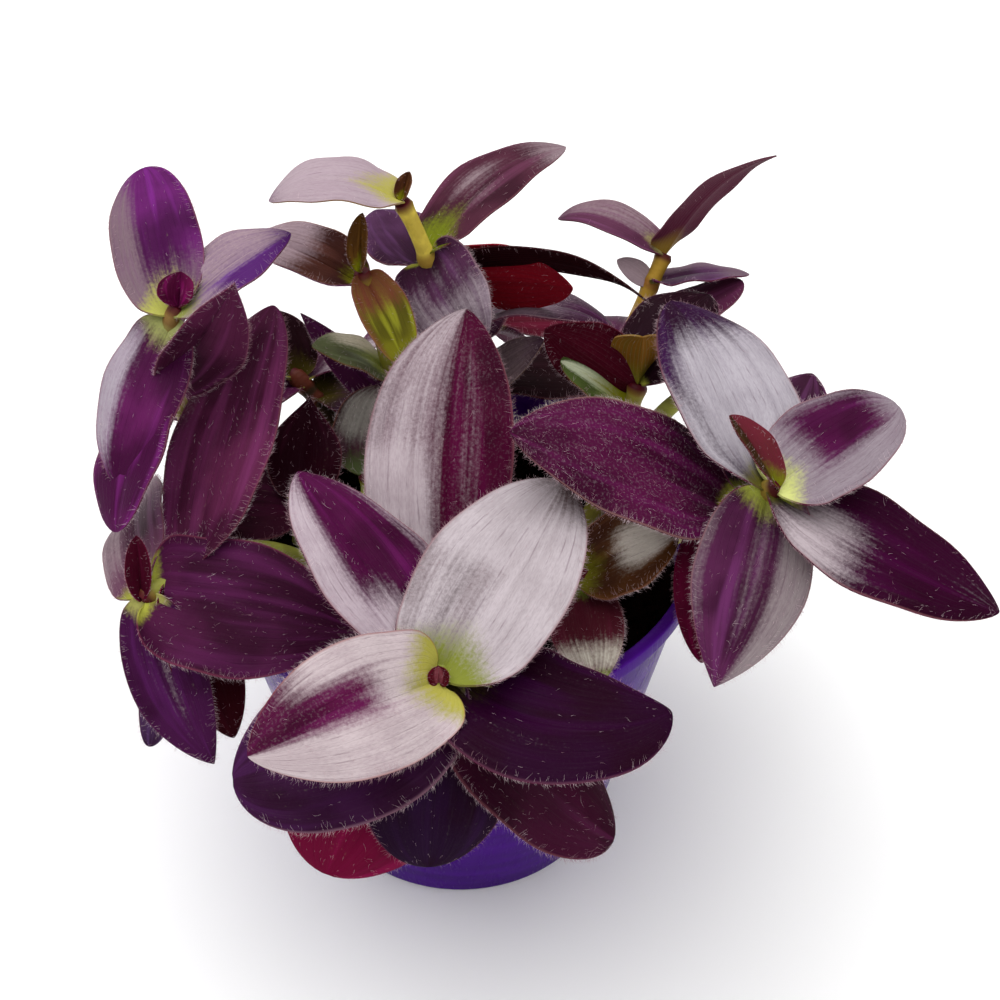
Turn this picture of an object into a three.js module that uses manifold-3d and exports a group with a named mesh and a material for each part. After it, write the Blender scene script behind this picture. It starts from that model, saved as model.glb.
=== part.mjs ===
// A purple tradescantia in a violet plastic pot.
// Millimetres and degrees, +Z up. The origin is the centre of the pot's underside.
// Seen from the front, +X is to the right and +Y is away from the viewer.
// Every leafy stem is one solid: its leaves are rooted in the stem that bears them.
import * as THREE from "three";
import { mergeVertices } from "three/addons/utils/BufferGeometryUtils.js";
import Module from "manifold-3d";

const wasm = await Module();
wasm.setup();

// Pot
const potHeight = 95;
const rimRadius = 60;
const footRadius = 40;
const wall = 1.6;
const floorThickness = 2.4;
const lipWidth = 3;
const lipHeight = 4.5;
const lipRounding = 0.7;
const potFacets = 40;
const drainHoles = 5;
const drainHoleRadius = 4;
const drainCircleRadius = 22;

// Soil
const soilTop = 83;
const soilBump = 1.4;
const soilClearance = 0.3;
const soilFacets = 18;
const soilRings = 6;
const soilSeed = 7;

// Stems
const rootDepth = 9;
const stemRadiusLow = 3.0;
const stemRadiusHigh = 2.1;
const stemFacets = 6;
const stemRings = 7;
const holeClearance = 0.4;
const holeReach = 0.45; // share of the stem along which its hole in the soil is cut

// Leaf blades
const bladeSteps = 32; // steps in which the midrib is bent
const bladeStations = [0, 4, 10, 17, 25, 32]; // the steps at which it has a cross section
const bladeCells = 2; // cells from the midrib to each margin
const bladeThickness = 0.8;
const sliverSize = 0.06; // edges shorter than this are closed up where blades meet
const widestAt = 0.42; // share of the length where the blade is widest
const baseShare = 0.35; // width of the clasping base, as a share of the full width
const baseFullness = 0.8; // how soon the outline swells out from the base
const tipSharpness = 0.75; // 0.5 ends the outline round, 1 ends it in a long point
const tipShare = 0.985; // the blade ends in a narrow edge, not in a point
const claspAngle = 35; // extra fold where the base wraps round the stem
const claspLength = 0.15; // share of the length over which that fold fades
const foldAngle = 14; // each half rises this much from the midrib
const marginArch = 18; // and bends down again by this much at its margin

// Each shoot: its colour, its root on the soil, the point its stem bends towards, and its growing tip.
// Each leaf: where it sits on the stem (0 root, 1 tip), its compass turn from +X towards +Y, its rise
// above the level, its roll, its droop from base to tip, its sweep to the left, its length and width.
// Some have their own clasping base, tip sharpness or fold.
const shoots = [
  {
    name: "front_shoot", colour: 0x7d6a78, root: [-4, -22], bend: [-3, -44, 112], tip: [-2, -70, 116],
    leaves: [
      { at: 0.99, turn: 227, rise: 24, roll: -35, droop: 30, long: 47, wide: 28, base: 0.7 },
      { at: 0.98, turn: 57, rise: 28, roll: 8, droop: 24, long: 53, wide: 33, base: 0.6, sharp: 0.6 },
      { at: 0.9, turn: 125, rise: 25, roll: 18, droop: 16, long: 55, wide: 31, base: 0.5 },
      {
        at: 0.92, turn: 269, rise: -50, roll: -12, droop: 30, long: 45, wide: 33,
        base: 0.5, sharp: 0.5,
      },
      {
        at: 0.9, turn: 311, rise: -6, roll: 0, droop: 3, sweep: 76, long: 53,
        wide: 33, base: 0.45, sharp: 0.7,
      },
      { at: 0.86, turn: 328, rise: -46, roll: -4, droop: 3, sweep: 18, long: 59, wide: 33, sharp: 0.55 },
      {
        at: 0.85, turn: 236, rise: -12, roll: -14, droop: 12, sweep: -48, long: 50,
        wide: 37, sharp: 0.5,
      },
      { at: 0.79, turn: 226, rise: -52, roll: -45, droop: 6, long: 57, wide: 42, sharp: 0.5 },
      {
        at: 1, turn: 90, rise: 80, roll: 0, droop: 5, long: 4, wide: 5,
        base: 0.8, sharp: 0.5, fold: 50,
      },
    ],
  },
  {
    name: "left_shoot", colour: 0x48163a, root: [-30, 0], bend: [-50, -12, 112], tip: [-70, -35, 104],
    leaves: [
      { at: 0.97, turn: 352, rise: -4, roll: 22, droop: 10, long: 49, wide: 33, base: 0.8, sharp: 1 },
      { at: 0.97, turn: 112, rise: 5, roll: -45, droop: 45, long: 49, wide: 23, base: 0.35, sharp: 1 },
      {
        at: 0.97, turn: 282, rise: -40, roll: 10, droop: 30, sweep: 22, long: 42,
        wide: 18, base: 0.5, sharp: 0.9,
      },
      { at: 0.85, turn: 263, rise: -55, roll: -40, droop: 25, long: 43, wide: 12, sharp: 0.5 },
      { at: 0.75, turn: 76, rise: 39, roll: -16, droop: 20, long: 66, wide: 28, sharp: 0.65 },
      { at: 1, turn: 95, rise: 60, roll: 0, droop: 5, long: 15, wide: 7, fold: 55 },
      { at: 0.86, turn: 305, rise: -42, roll: -10, droop: 20, long: 40, wide: 18 },
    ],
  },
  {
    name: "upper_left_shoot", colour: 0x5d2163, root: [-30, 24], bend: [-80, 6, 119], tip: [-63, 15, 149],
    leaves: [
      { at: 0.97, turn: 111, rise: 32, roll: -20, droop: 30, long: 44, wide: 22, base: 0.5, sharp: 0.5 },
      { at: 0.97, turn: 25, rise: 42, roll: 0, droop: 40, long: 33, wide: 22, base: 0.5 },
      { at: 0.95, turn: 247, rise: -26, roll: 0, droop: 35, long: 41, wide: 21, base: 0.5, sharp: 0.7 },
      { at: 0.75, turn: 250, rise: -15, roll: 30, droop: 30, long: 42, wide: 25, sharp: 0.6 },
      {
        at: 0.67, turn: 334, rise: 59, roll: 136, droop: 0, long: 43, wide: 22,
        base: 0.15, fold: 40, sharp: 1.2,
      },
      { at: 1, turn: 80, rise: 60, roll: 0, droop: 5, long: 8, wide: 11, fold: 60 },
    ],
  },
  {
    name: "bud_shoot", colour: 0x4f3a1c, root: [-8, 19], bend: [-14, 26, 117], tip: [-22, 28, 150],
    leaves: [
      { at: 0.93, turn: 154, rise: 20, roll: -15, droop: 33, long: 33, wide: 17, fold: 40 },
      { at: 0.97, turn: 299, rise: -15, roll: 5, droop: 45, long: 25, wide: 13, fold: 35, base: 0.6 },
      { at: 0.58, turn: 195, rise: 55, roll: 0, droop: 50, long: 24, wide: 16 },
      { at: 0.4, turn: 140, rise: 27, roll: -40, droop: 5, long: 40, wide: 9, sharp: 1 },
      { at: 1, turn: 60, rise: 85, roll: 0, droop: 5, long: 15, wide: 7, fold: 60 },
    ],
  },
  {
    name: "tall_shoot", colour: 0x6d4f63, root: [0, 32], bend: [2, 41, 127], tip: [-12, 31, 167],
    leaves: [
      { at: 1, turn: 185, rise: 38, roll: 0, droop: 84, long: 33, wide: 20 },
      { at: 0.8, turn: 52, rise: 36, roll: -10, droop: 46, sweep: -22, long: 46, wide: 20 },
      { at: 0.78, turn: 287, rise: -10, roll: 42, droop: 60, long: 26, wide: 22, base: 0.8, sharp: 0.6 },
      { at: 0.74, turn: 118, rise: 5, roll: 0, droop: 15, long: 32, wide: 22 },
      { at: 0.74, turn: 345, rise: 24, roll: -65, droop: 52, long: 64, wide: 11, sharp: 1.4 },
      { at: 0.49, turn: 5, rise: 45, roll: -28, droop: 88, long: 47, wide: 24 },
      { at: 1, turn: 60, rise: 60, roll: 0, droop: 5, long: 7, wide: 5, fold: 60 },
      { at: 0.7, turn: 350, rise: 14, roll: -80, droop: 28, long: 36, wide: 22 },
      { at: 0.3, turn: 324, rise: 52, roll: 45, droop: 8, long: 39, wide: 13 },
      { at: 0.45, turn: 85, rise: 15, roll: 0, droop: 45, long: 42, wide: 26 },
    ],
  },
  {
    name: "far_shoot", colour: 0x5c2f45, root: [26, 30], bend: [38, 38, 110], tip: [52, 55, 137],
    leaves: [
      { at: 1, turn: 165, rise: 44, roll: -14, droop: 96, long: 33, wide: 11 },
      { at: 1, turn: 5, rise: 66, roll: -60, droop: 45, long: 43, wide: 13, base: 0.8, sharp: 1.2 },
      { at: 0.88, turn: 5, rise: 18, roll: -20, droop: 30, long: 25, wide: 16, base: 0.8 },
      { at: 0.88, turn: 170, rise: 45, roll: -40, droop: 60, long: 11, wide: 6 },
      { at: 0.62, turn: 10, rise: 33, roll: 0, droop: 8, long: 35, wide: 18, sharp: 0.5 },
      { at: 0.5, turn: 80, rise: 5, roll: 0, droop: 40, long: 42, wide: 25 },
      { at: 0.5, turn: 185, rise: 20, roll: 0, droop: 40, long: 36, wide: 22 },
    ],
  },
  {
    name: "middle_shoot", colour: 0x54402a, root: [30, 12], bend: [39, 14, 102], tip: [44, 20, 123],
    leaves: [
      {
        at: 0.98, turn: 270, rise: 80, roll: 0, droop: 5, long: 18, wide: 17,
        base: 0.7, sharp: 0.5, fold: 60,
      },
      { at: 1, turn: 50, rise: 50, roll: 0, droop: 70, long: 32, wide: 22 },
      { at: 0.97, turn: 165, rise: 35, roll: 100, droop: 20, long: 28, wide: 19 },
      { at: 0.85, turn: 175, rise: 45, roll: 0, droop: 20, long: 22, wide: 17, sharp: 0.6 },
    ],
  },
  {
    name: "right_shoot", colour: 0x6b4a68, root: [26, -10], bend: [52, -16, 112], tip: [71, -28, 132],
    leaves: [
      { at: 0.95, turn: 107, rise: 33, roll: 10, droop: 38, sweep: 3, long: 55, wide: 31 },
      { at: 0.97, turn: 26, rise: 32, roll: 10, droop: 30, long: 34, wide: 25, base: 0.6, sharp: 0.5 },
      { at: 0.95, turn: 330, rise: -12, roll: 0, droop: 5, sweep: 6, long: 55, wide: 30 },
      {
        at: 0.95, turn: 257, rise: -28, roll: -15, droop: 30, sweep: -7, long: 45,
        wide: 26, base: 0.5, sharp: 1,
      },
      { at: 0.98, turn: 165, rise: 64, roll: -15, droop: 20, long: 21, wide: 10, fold: 50 },
      { at: 0.75, turn: 188, rise: 40, roll: -20, droop: 28, sweep: 5, long: 56, wide: 31, base: 0.5 },
      { at: 0.85, turn: 60, rise: 28, roll: 0, droop: 20, long: 36, wide: 22 },
      { at: 0.7, turn: 262, rise: -35, roll: 0, droop: 20, long: 34, wide: 16 },
      { at: 0.62, turn: 12, rise: -10, roll: 0, droop: 30, long: 42, wide: 24 },
    ],
  },
  {
    name: "central_shoot", colour: 0x82667a, root: [-8, -14], bend: [-6, -20, 94], tip: [-3, -25, 107],
    leaves: [
      { at: 0.98, turn: 97, rise: 54, roll: -18, droop: 34, sweep: -14, long: 60, wide: 35, base: 0.8 },
    ],
  },
  {
    name: "young_shoot", colour: 0x6a5a44, root: [20, -22], bend: [24, -26, 92], tip: [29, -30, 108],
    leaves: [
      { at: 0.95, turn: 5, rise: 40, roll: 10, droop: 30, long: 25, wide: 23, base: 0.5, sharp: 0.6 },
      { at: 0.9, turn: 277, rise: -2, roll: 0, droop: 24, long: 28, wide: 17, base: 0.5 },
    ],
  },
  {
    name: "inner_left_shoot", colour: 0x2a0f22, root: [-40, 8], bend: [-39, 5, 90], tip: [-38, 5, 99],
    leaves: [
      { at: 0.95, turn: 82, rise: 58, roll: 0, droop: 14, long: 26, wide: 19, sharp: 1.4 },
      { at: 0.85, turn: 193, rise: 24, roll: -25, droop: 30, long: 31, wide: 22 },
    ],
  },
  {
    name: "inner_shoot", colour: 0x46484a, root: [-22, 6], bend: [-22, 10, 94], tip: [-22, 12, 101],
    leaves: [
      { at: 0.95, turn: 66, rise: 66, roll: 0, droop: 10, long: 23, wide: 23, sharp: 0.5 },
    ],
  },
  {
    name: "back_left_shoot", colour: 0x36132c, root: [-24, 36], bend: [-37, 40, 106], tip: [-44, 46, 106],
    leaves: [
      { at: 0.85, turn: 118, rise: 54, roll: 0, droop: 20, long: 19, wide: 15 },
      { at: 0.9, turn: 140, rise: 10, roll: 0, droop: 60, long: 44, wide: 25 },
      { at: 0.8, turn: 80, rise: 0, roll: 0, droop: 60, long: 44, wide: 26 },
      { at: 0.75, turn: 185, rise: 5, roll: 0, droop: 40, long: 38, wide: 22 },
      { at: 0.62, turn: 12, rise: 10, roll: 0, droop: 20, long: 30, wide: 24 },
    ],
  },
  {
    name: "back_shoot", colour: 0x4a1b44, root: [6, 43], bend: [6, 55, 120], tip: [6, 76, 100],
    leaves: [
      { at: 0.98, turn: 95, rise: -20, roll: 0, droop: 40, long: 44, wide: 28 },
      { at: 0.96, turn: 25, rise: 0, roll: 0, droop: 50, long: 42, wide: 26 },
      { at: 0.92, turn: 165, rise: 0, roll: 0, droop: 50, long: 40, wide: 26 },
      { at: 0.75, turn: 55, rise: -35, roll: 0, droop: 30, long: 46, wide: 27 },
      { at: 0.8, turn: 140, rise: -45, roll: 0, droop: 30, long: 42, wide: 26 },
    ],
  },
  {
    name: "back_right_shoot", colour: 0x4a1b44, root: [38, 22], bend: [49, 29, 120], tip: [70, 44, 102],
    leaves: [
      { at: 0.98, turn: 30, rise: -20, roll: 0, droop: 40, long: 40, wide: 26 },
      { at: 0.92, turn: 95, rise: -15, roll: 0, droop: 50, long: 42, wide: 26 },
      { at: 0.9, turn: 330, rise: -25, roll: 0, droop: 40, long: 38, wide: 24 },
      { at: 0.75, turn: 60, rise: -30, roll: 0, droop: 30, long: 46, wide: 26 },
    ],
  },
];

// Colours
const potViolet = new THREE.MeshStandardMaterial({ color: 0x3a0d94, roughness: 0.3, metalness: 0 });
const soilBrown = new THREE.MeshStandardMaterial({ color: 0x1d1310, roughness: 0.95, metalness: 0 });
const leafRoughness = 0.55;

// A closed geometry as a solid that can be joined and cut.
function toSolid(geometry) {
  const bare = geometry.clone();
  bare.deleteAttribute("normal");
  bare.deleteAttribute("uv");
  const merged = mergeVertices(bare, 1e-4);
  return new wasm.Manifold(
    new wasm.Mesh({
      numProp: 3,
      vertProperties: new Float32Array(merged.attributes.position.array),
      triVerts: new Uint32Array(merged.index.array),
    }),
  );
}

// A solid as a named mesh.
function toMesh(solid, name, material) {
  const made = solid.getMesh();
  const geometry = new THREE.BufferGeometry();
  geometry.setAttribute("position", new THREE.BufferAttribute(made.vertProperties, 3));
  geometry.setIndex(new THREE.BufferAttribute(made.triVerts, 1));
  geometry.computeVertexNormals();
  const mesh = new THREE.Mesh(geometry, material);
  mesh.name = name;
  return mesh;
}

// Rows of points, closed round each row and capped at both ends, as one solid.
function skinRows(rows) {
  const points = rows.flat();
  const count = rows[0].length;
  const faces = [];
  for (let i = 0; i + 1 < rows.length; i += 1) {
    for (let j = 0; j < count; j += 1) {
      const a = i * count + j;
      const b = i * count + ((j + 1) % count);
      faces.push(a, b, b + count, a, b + count, a + count);
    }
  }
  const last = (rows.length - 1) * count;
  for (let j = 1; j + 1 < count; j += 1) {
    faces.push(0, j + 1, j);
    faces.push(last, last + j, last + j + 1);
  }
  const geometry = new THREE.BufferGeometry().setFromPoints(points);
  geometry.setIndex(faces);
  return geometry;
}

// The stem's line, from below the soil to its growing tip.
function stemCurve(shoot) {
  const [x, y] = shoot.root;
  return new THREE.QuadraticBezierCurve3(
    new THREE.Vector3(x, y, soilTop - rootDepth),
    new THREE.Vector3(...shoot.bend),
    new THREE.Vector3(...shoot.tip),
  );
}

// A round stem along its line, from its root to the share `end`, thicker by `extra`.
function stemSolid(shoot, end = 1, extra = 0) {
  const curve = stemCurve(shoot);
  const rings = Math.max(3, Math.round(stemRings * end));
  const rows = [];
  const side = new THREE.Vector3(0, 1, 0);
  for (let i = 0; i <= rings; i += 1) {
    const t = (end * i) / rings;
    const along = curve.getTangent(t);
    const across = new THREE.Vector3().crossVectors(side, along).normalize();
    const out = new THREE.Vector3().crossVectors(along, across);
    const radius = THREE.MathUtils.lerp(stemRadiusLow, stemRadiusHigh, t) + extra;
    const centre = curve.getPoint(t).addScaledVector(along, i === 0 ? -extra : 0);
    const row = [];
    for (let k = 0; k < stemFacets; k += 1) {
      const angle = (2 * Math.PI * k) / stemFacets;
      row.push(
        centre.clone()
          .addScaledVector(across, radius * Math.cos(angle))
          .addScaledVector(out, radius * Math.sin(angle)),
      );
    }
    rows.push(row);
  }
  return toSolid(skinRows(rows));
}

// Half the blade's width at the share t of its length.
function halfWidth(leaf, t) {
  if (t > widestAt) {
    const toTip = (t - widestAt) / (1 - widestAt);
    return 0.5 * leaf.wide * (1 - toTip ** 2) ** (leaf.sharp ?? tipSharpness);
  }
  const base = leaf.base ?? baseShare;
  const swell = (1 - (1 - t / widestAt) ** 2) ** baseFullness;
  return 0.5 * leaf.wide * (base + (1 - base) * swell);
}

// Places and directions along the midrib, which droops more towards the tip.
function midrib(base, leaf) {
  const turn = THREE.MathUtils.degToRad(leaf.turn);
  const rise = THREE.MathUtils.degToRad(leaf.rise);
  const ahead = new THREE.Vector3(
    Math.cos(rise) * Math.cos(turn),
    Math.cos(rise) * Math.sin(turn),
    Math.sin(rise),
  );
  const left = new THREE.Vector3(-Math.sin(turn), Math.cos(turn), 0);
  const roll = THREE.MathUtils.degToRad(leaf.roll);
  left.applyAxisAngle(ahead, roll);
  const point = base.clone();
  const frames = [];
  for (let i = 0; i <= bladeSteps; i += 1) {
    const face = new THREE.Vector3().crossVectors(ahead, left);
    frames.push({ point: point.clone(), ahead: ahead.clone(), left: left.clone(), face });
    const share = (i + 0.5) / bladeSteps;
    const droop = (THREE.MathUtils.degToRad(leaf.droop) * (0.5 + share)) / bladeSteps;
    const sweep = THREE.MathUtils.degToRad(leaf.sweep ?? 0) / bladeSteps;
    point.addScaledVector(ahead, (0.5 * leaf.long) / bladeSteps);
    ahead.applyAxisAngle(left, droop);
    ahead.applyAxisAngle(face, sweep);
    left.applyAxisAngle(face, sweep);
    point.addScaledVector(ahead, (0.5 * leaf.long) / bladeSteps);
  }
  return frames;
}

// One cross section of a blade, from its right margin to its left one.
function bladeSection(frame, leaf, t) {
  const half = halfWidth(leaf, t);
  const clasp = claspAngle * Math.max(0, 1 - t / claspLength);
  const fold = THREE.MathUtils.degToRad((leaf.fold ?? foldAngle) * (1 - 0.5 * t) + clasp);
  const arch = THREE.MathUtils.degToRad(marginArch);
  const row = [];
  for (let j = -bladeCells; j <= bladeCells; j += 1) {
    const out = Math.abs(j) / bladeCells;
    const across = (half * (Math.sin(fold) - Math.sin(fold - arch * out))) / arch;
    const up = (half * (Math.cos(fold - arch * out) - Math.cos(fold))) / arch;
    row.push(
      frame.point.clone()
        .addScaledVector(frame.left, Math.sign(j) * across)
        .addScaledVector(frame.face, up),
    );
  }
  return row;
}

// A leaf as a thin closed blade, with its two faces split into triangles alike.
function leafSolid(base, leaf) {
  const frames = midrib(base, leaf);
  const rows = bladeStations.map((step) => {
    const frame = frames[step];
    const section = bladeSection(frame, leaf, Math.min(step / bladeSteps, tipShare));
    const upper = section.map((p) => p.clone().addScaledVector(frame.face, bladeThickness / 2));
    const lower = section.map((p) => p.clone().addScaledVector(frame.face, -bladeThickness / 2));
    return [...upper, ...lower.reverse()];
  });
  const count = rows[0].length;
  const wide = count / 2;
  const last = rows.length - 1;
  const faces = [];
  const quad = (a, b, c, d) => faces.push(a, b, c, a, c, d);
  for (let i = 0; i < last; i += 1) {
    const here = i * count;
    const next = here + count;
    for (let j = 0; j + 1 < wide; j += 1) {
      const under = count - 1 - j;
      if (j < bladeCells) {
        faces.push(here + j, next + j, here + j + 1);
        faces.push(here + j + 1, next + j, next + j + 1);
        faces.push(here + under, here + under - 1, next + under);
        faces.push(here + under - 1, next + under - 1, next + under);
      } else {
        quad(here + j, next + j, next + j + 1, here + j + 1);
        faces.push(here + under, next + under - 1, next + under);
        faces.push(here + under, here + under - 1, next + under - 1);
      }
    }
    quad(here + wide - 1, next + wide - 1, next + wide, here + wide);
    quad(here + count - 1, next + count - 1, next, here);
  }
  const end = last * count;
  for (let j = 0; j + 1 < wide; j += 1) {
    const under = count - 1 - j;
    quad(j, j + 1, under - 1, under);
    quad(end + under, end + under - 1, end + j + 1, end + j);
  }
  const geometry = new THREE.BufferGeometry().setFromPoints(rows.flat());
  geometry.setIndex(faces);
  return toSolid(geometry);
}

// Fills the small hollows that crossing leaf bases can close off between them.
function withoutHollows(solid) {
  return wasm.Manifold.compose(solid.decompose().filter((shell) => shell.volume() > 0));
}

// The colour that most of a shoot's leaves show.
function leafMaterial(shoot) {
  return new THREE.MeshStandardMaterial({ color: shoot.colour, roughness: leafRoughness, metalness: 0 });
}

// A stem with its leaves, in one solid.
function shootSolid(shoot) {
  const curve = stemCurve(shoot);
  const joined = shoot.leaves.reduce(
    (solid, leaf) => solid.add(leafSolid(curve.getPoint(leaf.at), leaf)),
    stemSolid(shoot),
  );
  return withoutHollows(joined.asOriginal().simplify(sliverSize));
}

// The inside radius of the pot's wall at a height.
function insideRadius(z) {
  const outside = THREE.MathUtils.lerp(footRadius, rimRadius - lipWidth + wall, z / potHeight);
  return outside - wall;
}

function potSolid() {
  const wallTop = potHeight - lipHeight;
  const profile = [
    [0, 0],
    [footRadius - lipRounding, 0],
    [footRadius, lipRounding],
    [insideRadius(wallTop - 1) + wall, wallTop - 1],
    [rimRadius - lipRounding, wallTop],
    [rimRadius, wallTop + lipRounding],
    [rimRadius, potHeight - lipRounding],
    [rimRadius - lipRounding, potHeight],
    [rimRadius - lipWidth + lipRounding, potHeight],
    [insideRadius(potHeight - lipRounding), potHeight - lipRounding],
    [insideRadius(floorThickness), floorThickness],
    [0, floorThickness],
  ].map(([r, z]) => new THREE.Vector2(r, z));
  const turned = new THREE.LatheGeometry(profile, potFacets);
  turned.rotateX(Math.PI / 2);
  let pot = toSolid(turned);
  for (let i = 0; i < drainHoles; i += 1) {
    const angle = (2 * Math.PI * i) / drainHoles;
    const drill = new THREE.CylinderGeometry(drainHoleRadius, drainHoleRadius, 3 * floorThickness, 12);
    drill.rotateX(Math.PI / 2);
    drill.translate(
      drainCircleRadius * Math.cos(angle),
      drainCircleRadius * Math.sin(angle),
      floorThickness / 2,
    );
    pot = pot.subtract(toSolid(drill));
  }
  return pot;
}

// Repeatable random numbers from 0 to 1.
function seededRandom(seed) {
  let state = seed;
  return () => {
    state = (state * 1664525 + 1013904223) % 4294967296;
    return state / 4294967296;
  };
}

// The soil fills the pot to below its rim, with a lumpy top and a plain hole for each stem.
function soilSolid() {
  const random = seededRandom(soilSeed);
  const bottom = floorThickness + soilClearance;
  const points = [new THREE.Vector3(0, 0, bottom)];
  const rings = [
    { radius: insideRadius(bottom) - soilClearance, z: bottom, bump: 0 },
    { radius: insideRadius(soilTop) - soilClearance, z: soilTop, bump: 0 },
  ];
  for (let i = 1; i < soilRings; i += 1) {
    const radius = rings[1].radius * (1 - i / soilRings);
    rings.push({ radius, z: soilTop, bump: soilBump });
  }
  for (const ring of rings) {
    for (let j = 0; j < soilFacets; j += 1) {
      const angle = (2 * Math.PI * j) / soilFacets;
      const z = ring.z + ring.bump * (2 * random() - 1);
      points.push(new THREE.Vector3(ring.radius * Math.cos(angle), ring.radius * Math.sin(angle), z));
    }
  }
  points.push(new THREE.Vector3(0, 0, soilTop));
  const faces = [];
  const at = (ring, j) => 1 + ring * soilFacets + (j % soilFacets);
  for (let j = 0; j < soilFacets; j += 1) {
    faces.push(0, at(0, j + 1), at(0, j));
    for (let i = 0; i + 1 < rings.length; i += 1) {
      faces.push(at(i, j), at(i, j + 1), at(i + 1, j + 1), at(i, j), at(i + 1, j + 1), at(i + 1, j));
    }
    faces.push(at(rings.length - 1, j), at(rings.length - 1, j + 1), points.length - 1);
  }
  const geometry = new THREE.BufferGeometry().setFromPoints(points);
  geometry.setIndex(faces);
  return shoots.reduce(
    (soil, shoot) => soil.subtract(stemSolid(shoot, holeReach, holeClearance)),
    toSolid(geometry),
  );
}

const plant = new THREE.Group();
plant.add(toMesh(potSolid(), "pot", potViolet));
plant.add(toMesh(soilSolid(), "soil", soilBrown));
for (const shoot of shoots) plant.add(toMesh(shootSolid(shoot), shoot.name, leafMaterial(shoot)));

export default plant;
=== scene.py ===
# A potted purple tradescantia: fine leaves, stems, hairs, soil and pot in place of the plain solids.
import math
from types import SimpleNamespace

import bpy
import numpy as np
from bpy.props import FloatProperty, FloatVectorProperty, IntProperty, PointerProperty
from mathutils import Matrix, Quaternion, Vector


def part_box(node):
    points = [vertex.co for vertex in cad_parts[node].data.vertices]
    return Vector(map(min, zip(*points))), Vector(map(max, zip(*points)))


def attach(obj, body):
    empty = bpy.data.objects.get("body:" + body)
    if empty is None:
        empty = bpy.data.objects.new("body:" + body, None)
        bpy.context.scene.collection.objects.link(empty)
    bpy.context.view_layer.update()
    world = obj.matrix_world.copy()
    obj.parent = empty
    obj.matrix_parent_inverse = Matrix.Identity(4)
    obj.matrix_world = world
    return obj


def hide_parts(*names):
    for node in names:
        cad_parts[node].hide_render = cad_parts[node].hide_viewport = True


bl_info = {
    "name": "Potted Tradescantia",
    "version": (1, 0, 0),
    "blender": (4, 5, 0),
    "location": "View3D > Sidebar > Tradescantia",
    "description": "A purple and silver tradescantia in a violet nursery pot",
    "category": "Object",
}

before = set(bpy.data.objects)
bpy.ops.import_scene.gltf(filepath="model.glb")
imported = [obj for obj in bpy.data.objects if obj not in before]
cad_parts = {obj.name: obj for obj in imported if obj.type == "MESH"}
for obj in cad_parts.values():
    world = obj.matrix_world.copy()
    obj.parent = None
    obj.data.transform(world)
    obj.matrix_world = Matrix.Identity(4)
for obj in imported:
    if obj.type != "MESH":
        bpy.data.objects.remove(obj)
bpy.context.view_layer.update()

MM = 0.001

# Pot and soil, in millimetres, with the overall sizes read from the solids
POT_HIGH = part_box("pot")[1] / MM
POT_HEIGHT = POT_HIGH.z
RIM_RADIUS = POT_HIGH.x
FOOT_RADIUS = 40
WALL = 1.6
FLOOR = 2.4
LIP_WIDTH = 3
LIP_HEIGHT = 4.5
DRAIN_HOLES = 5
DRAIN_RADIUS = 4
DRAIN_CIRCLE = 22
SOIL_TOP = 83
SOIL_GAP = 0.3
SOIL_RINGS, SOIL_SEGMENTS = 34, 150
SOIL_RELIEFS = (9, 4.2), (2.2, 1.8)  # size and height of the lumps
# How much the wall leans out for each millimetre of height
WALL_SLOPE = (RIM_RADIUS - LIP_WIDTH + WALL - FOOT_RADIUS) / POT_HEIGHT

# Stems
ROOT_DEPTH = 9
STEM_LOW, STEM_HIGH = 2.9, 1.75
STEM_STATIONS = 60
NODE_SWELL = 0.4
NODE_REACH = 1.8
SHEATH_LENGTH = 8
SHEATH_FLARE = 0.3
CROWN_START, CROWN_END = 2.2, 0.8  # the red end of a stem, measured back from its tip
CROWN_SHRINK = 0.8

# Leaf blades
STEPS = 32  # steps in which a midrib is bent
ALONG, ACROSS = 38, 16  # cells of a blade
WIDEST_AT = 0.42
BASE_SHARE = 0.35
BASE_FULLNESS = 0.8
TIP_SHARPNESS = 0.75
CLASP_ANGLE = 56
CLASP_LENGTH = 0.2
LOBE_LENGTH = 0.08  # the base rounds in to its lobes over this share of the length
LOBE_SHARE = 0.45
FOLD_ANGLE = 14
MARGIN_ARCH = 18
GROOVE_DEPTH = 0.45
GROOVE_WIDTH = 0.9
MARGIN_WAVE = 0.55
WAVES = 2.3
FULL_WAVE_WIDTH = 25  # narrower blades have shallower waves and grooves
GREEN_ARCH = 1.8  # how much shorter the green is at the margins
TIP_GREEN = 0.7
# A silvery area is partly the leaf's own colour and partly painted sheen.
SIDE_BLUR, LENGTH_BLUR = 0.27, 0.2  # how softly a silver area ends

# Streaks and veins of a blade
VEINS = 15
FULL_TURN = 6.283

# Hairs: how far a tip of a hair of length 1 bows aside, how much lower it ends, and how many there are
HAIR_BOW = 0.75
HAIR_NOD = 0.35
FACE_HAIRS = 0.48
BACK_HAIRS = 0.4  # for each one on the face
MARGIN_HAIRS = 4.2

# Camera and light
EYE = Vector((10.5, -297.3, 370.7))
TARGET = Vector((10.5, 0, 103))
LENS = 59.8
LIGHTS = (  # name, place and width in metres, watts
    ("overhead", (-0.1, 0.2, 2.6), 4.4, 108),
    ("window", (-0.5, 0.45, 1.1), 1.3, 4.6),
    ("front", (0.4, -1.1, 0.8), 0.9, 2.4),
)
AMBIENT = 0.38
FLOOR_DROP = 0.0002

# Seeds of the random draws
LEAF_SEED, SOIL_SEED, HAIR_SEED = 5, 11, 23


def shade(code):
    """A colour written as six hexadecimal digits, in linear light."""
    parts = [int(code[i : i + 2], 16) / 255 for i in (0, 2, 4)]
    return tuple(c / 12.92 if c <= 0.04045 else ((c + 0.055) / 1.055) ** 2.4 for c in parts)


def band(start, end, strength):
    """A silvery area from margin to margin: partly the leaf's own colour, partly painted sheen."""
    return -1.2, 1.2, start, end, strength
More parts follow.
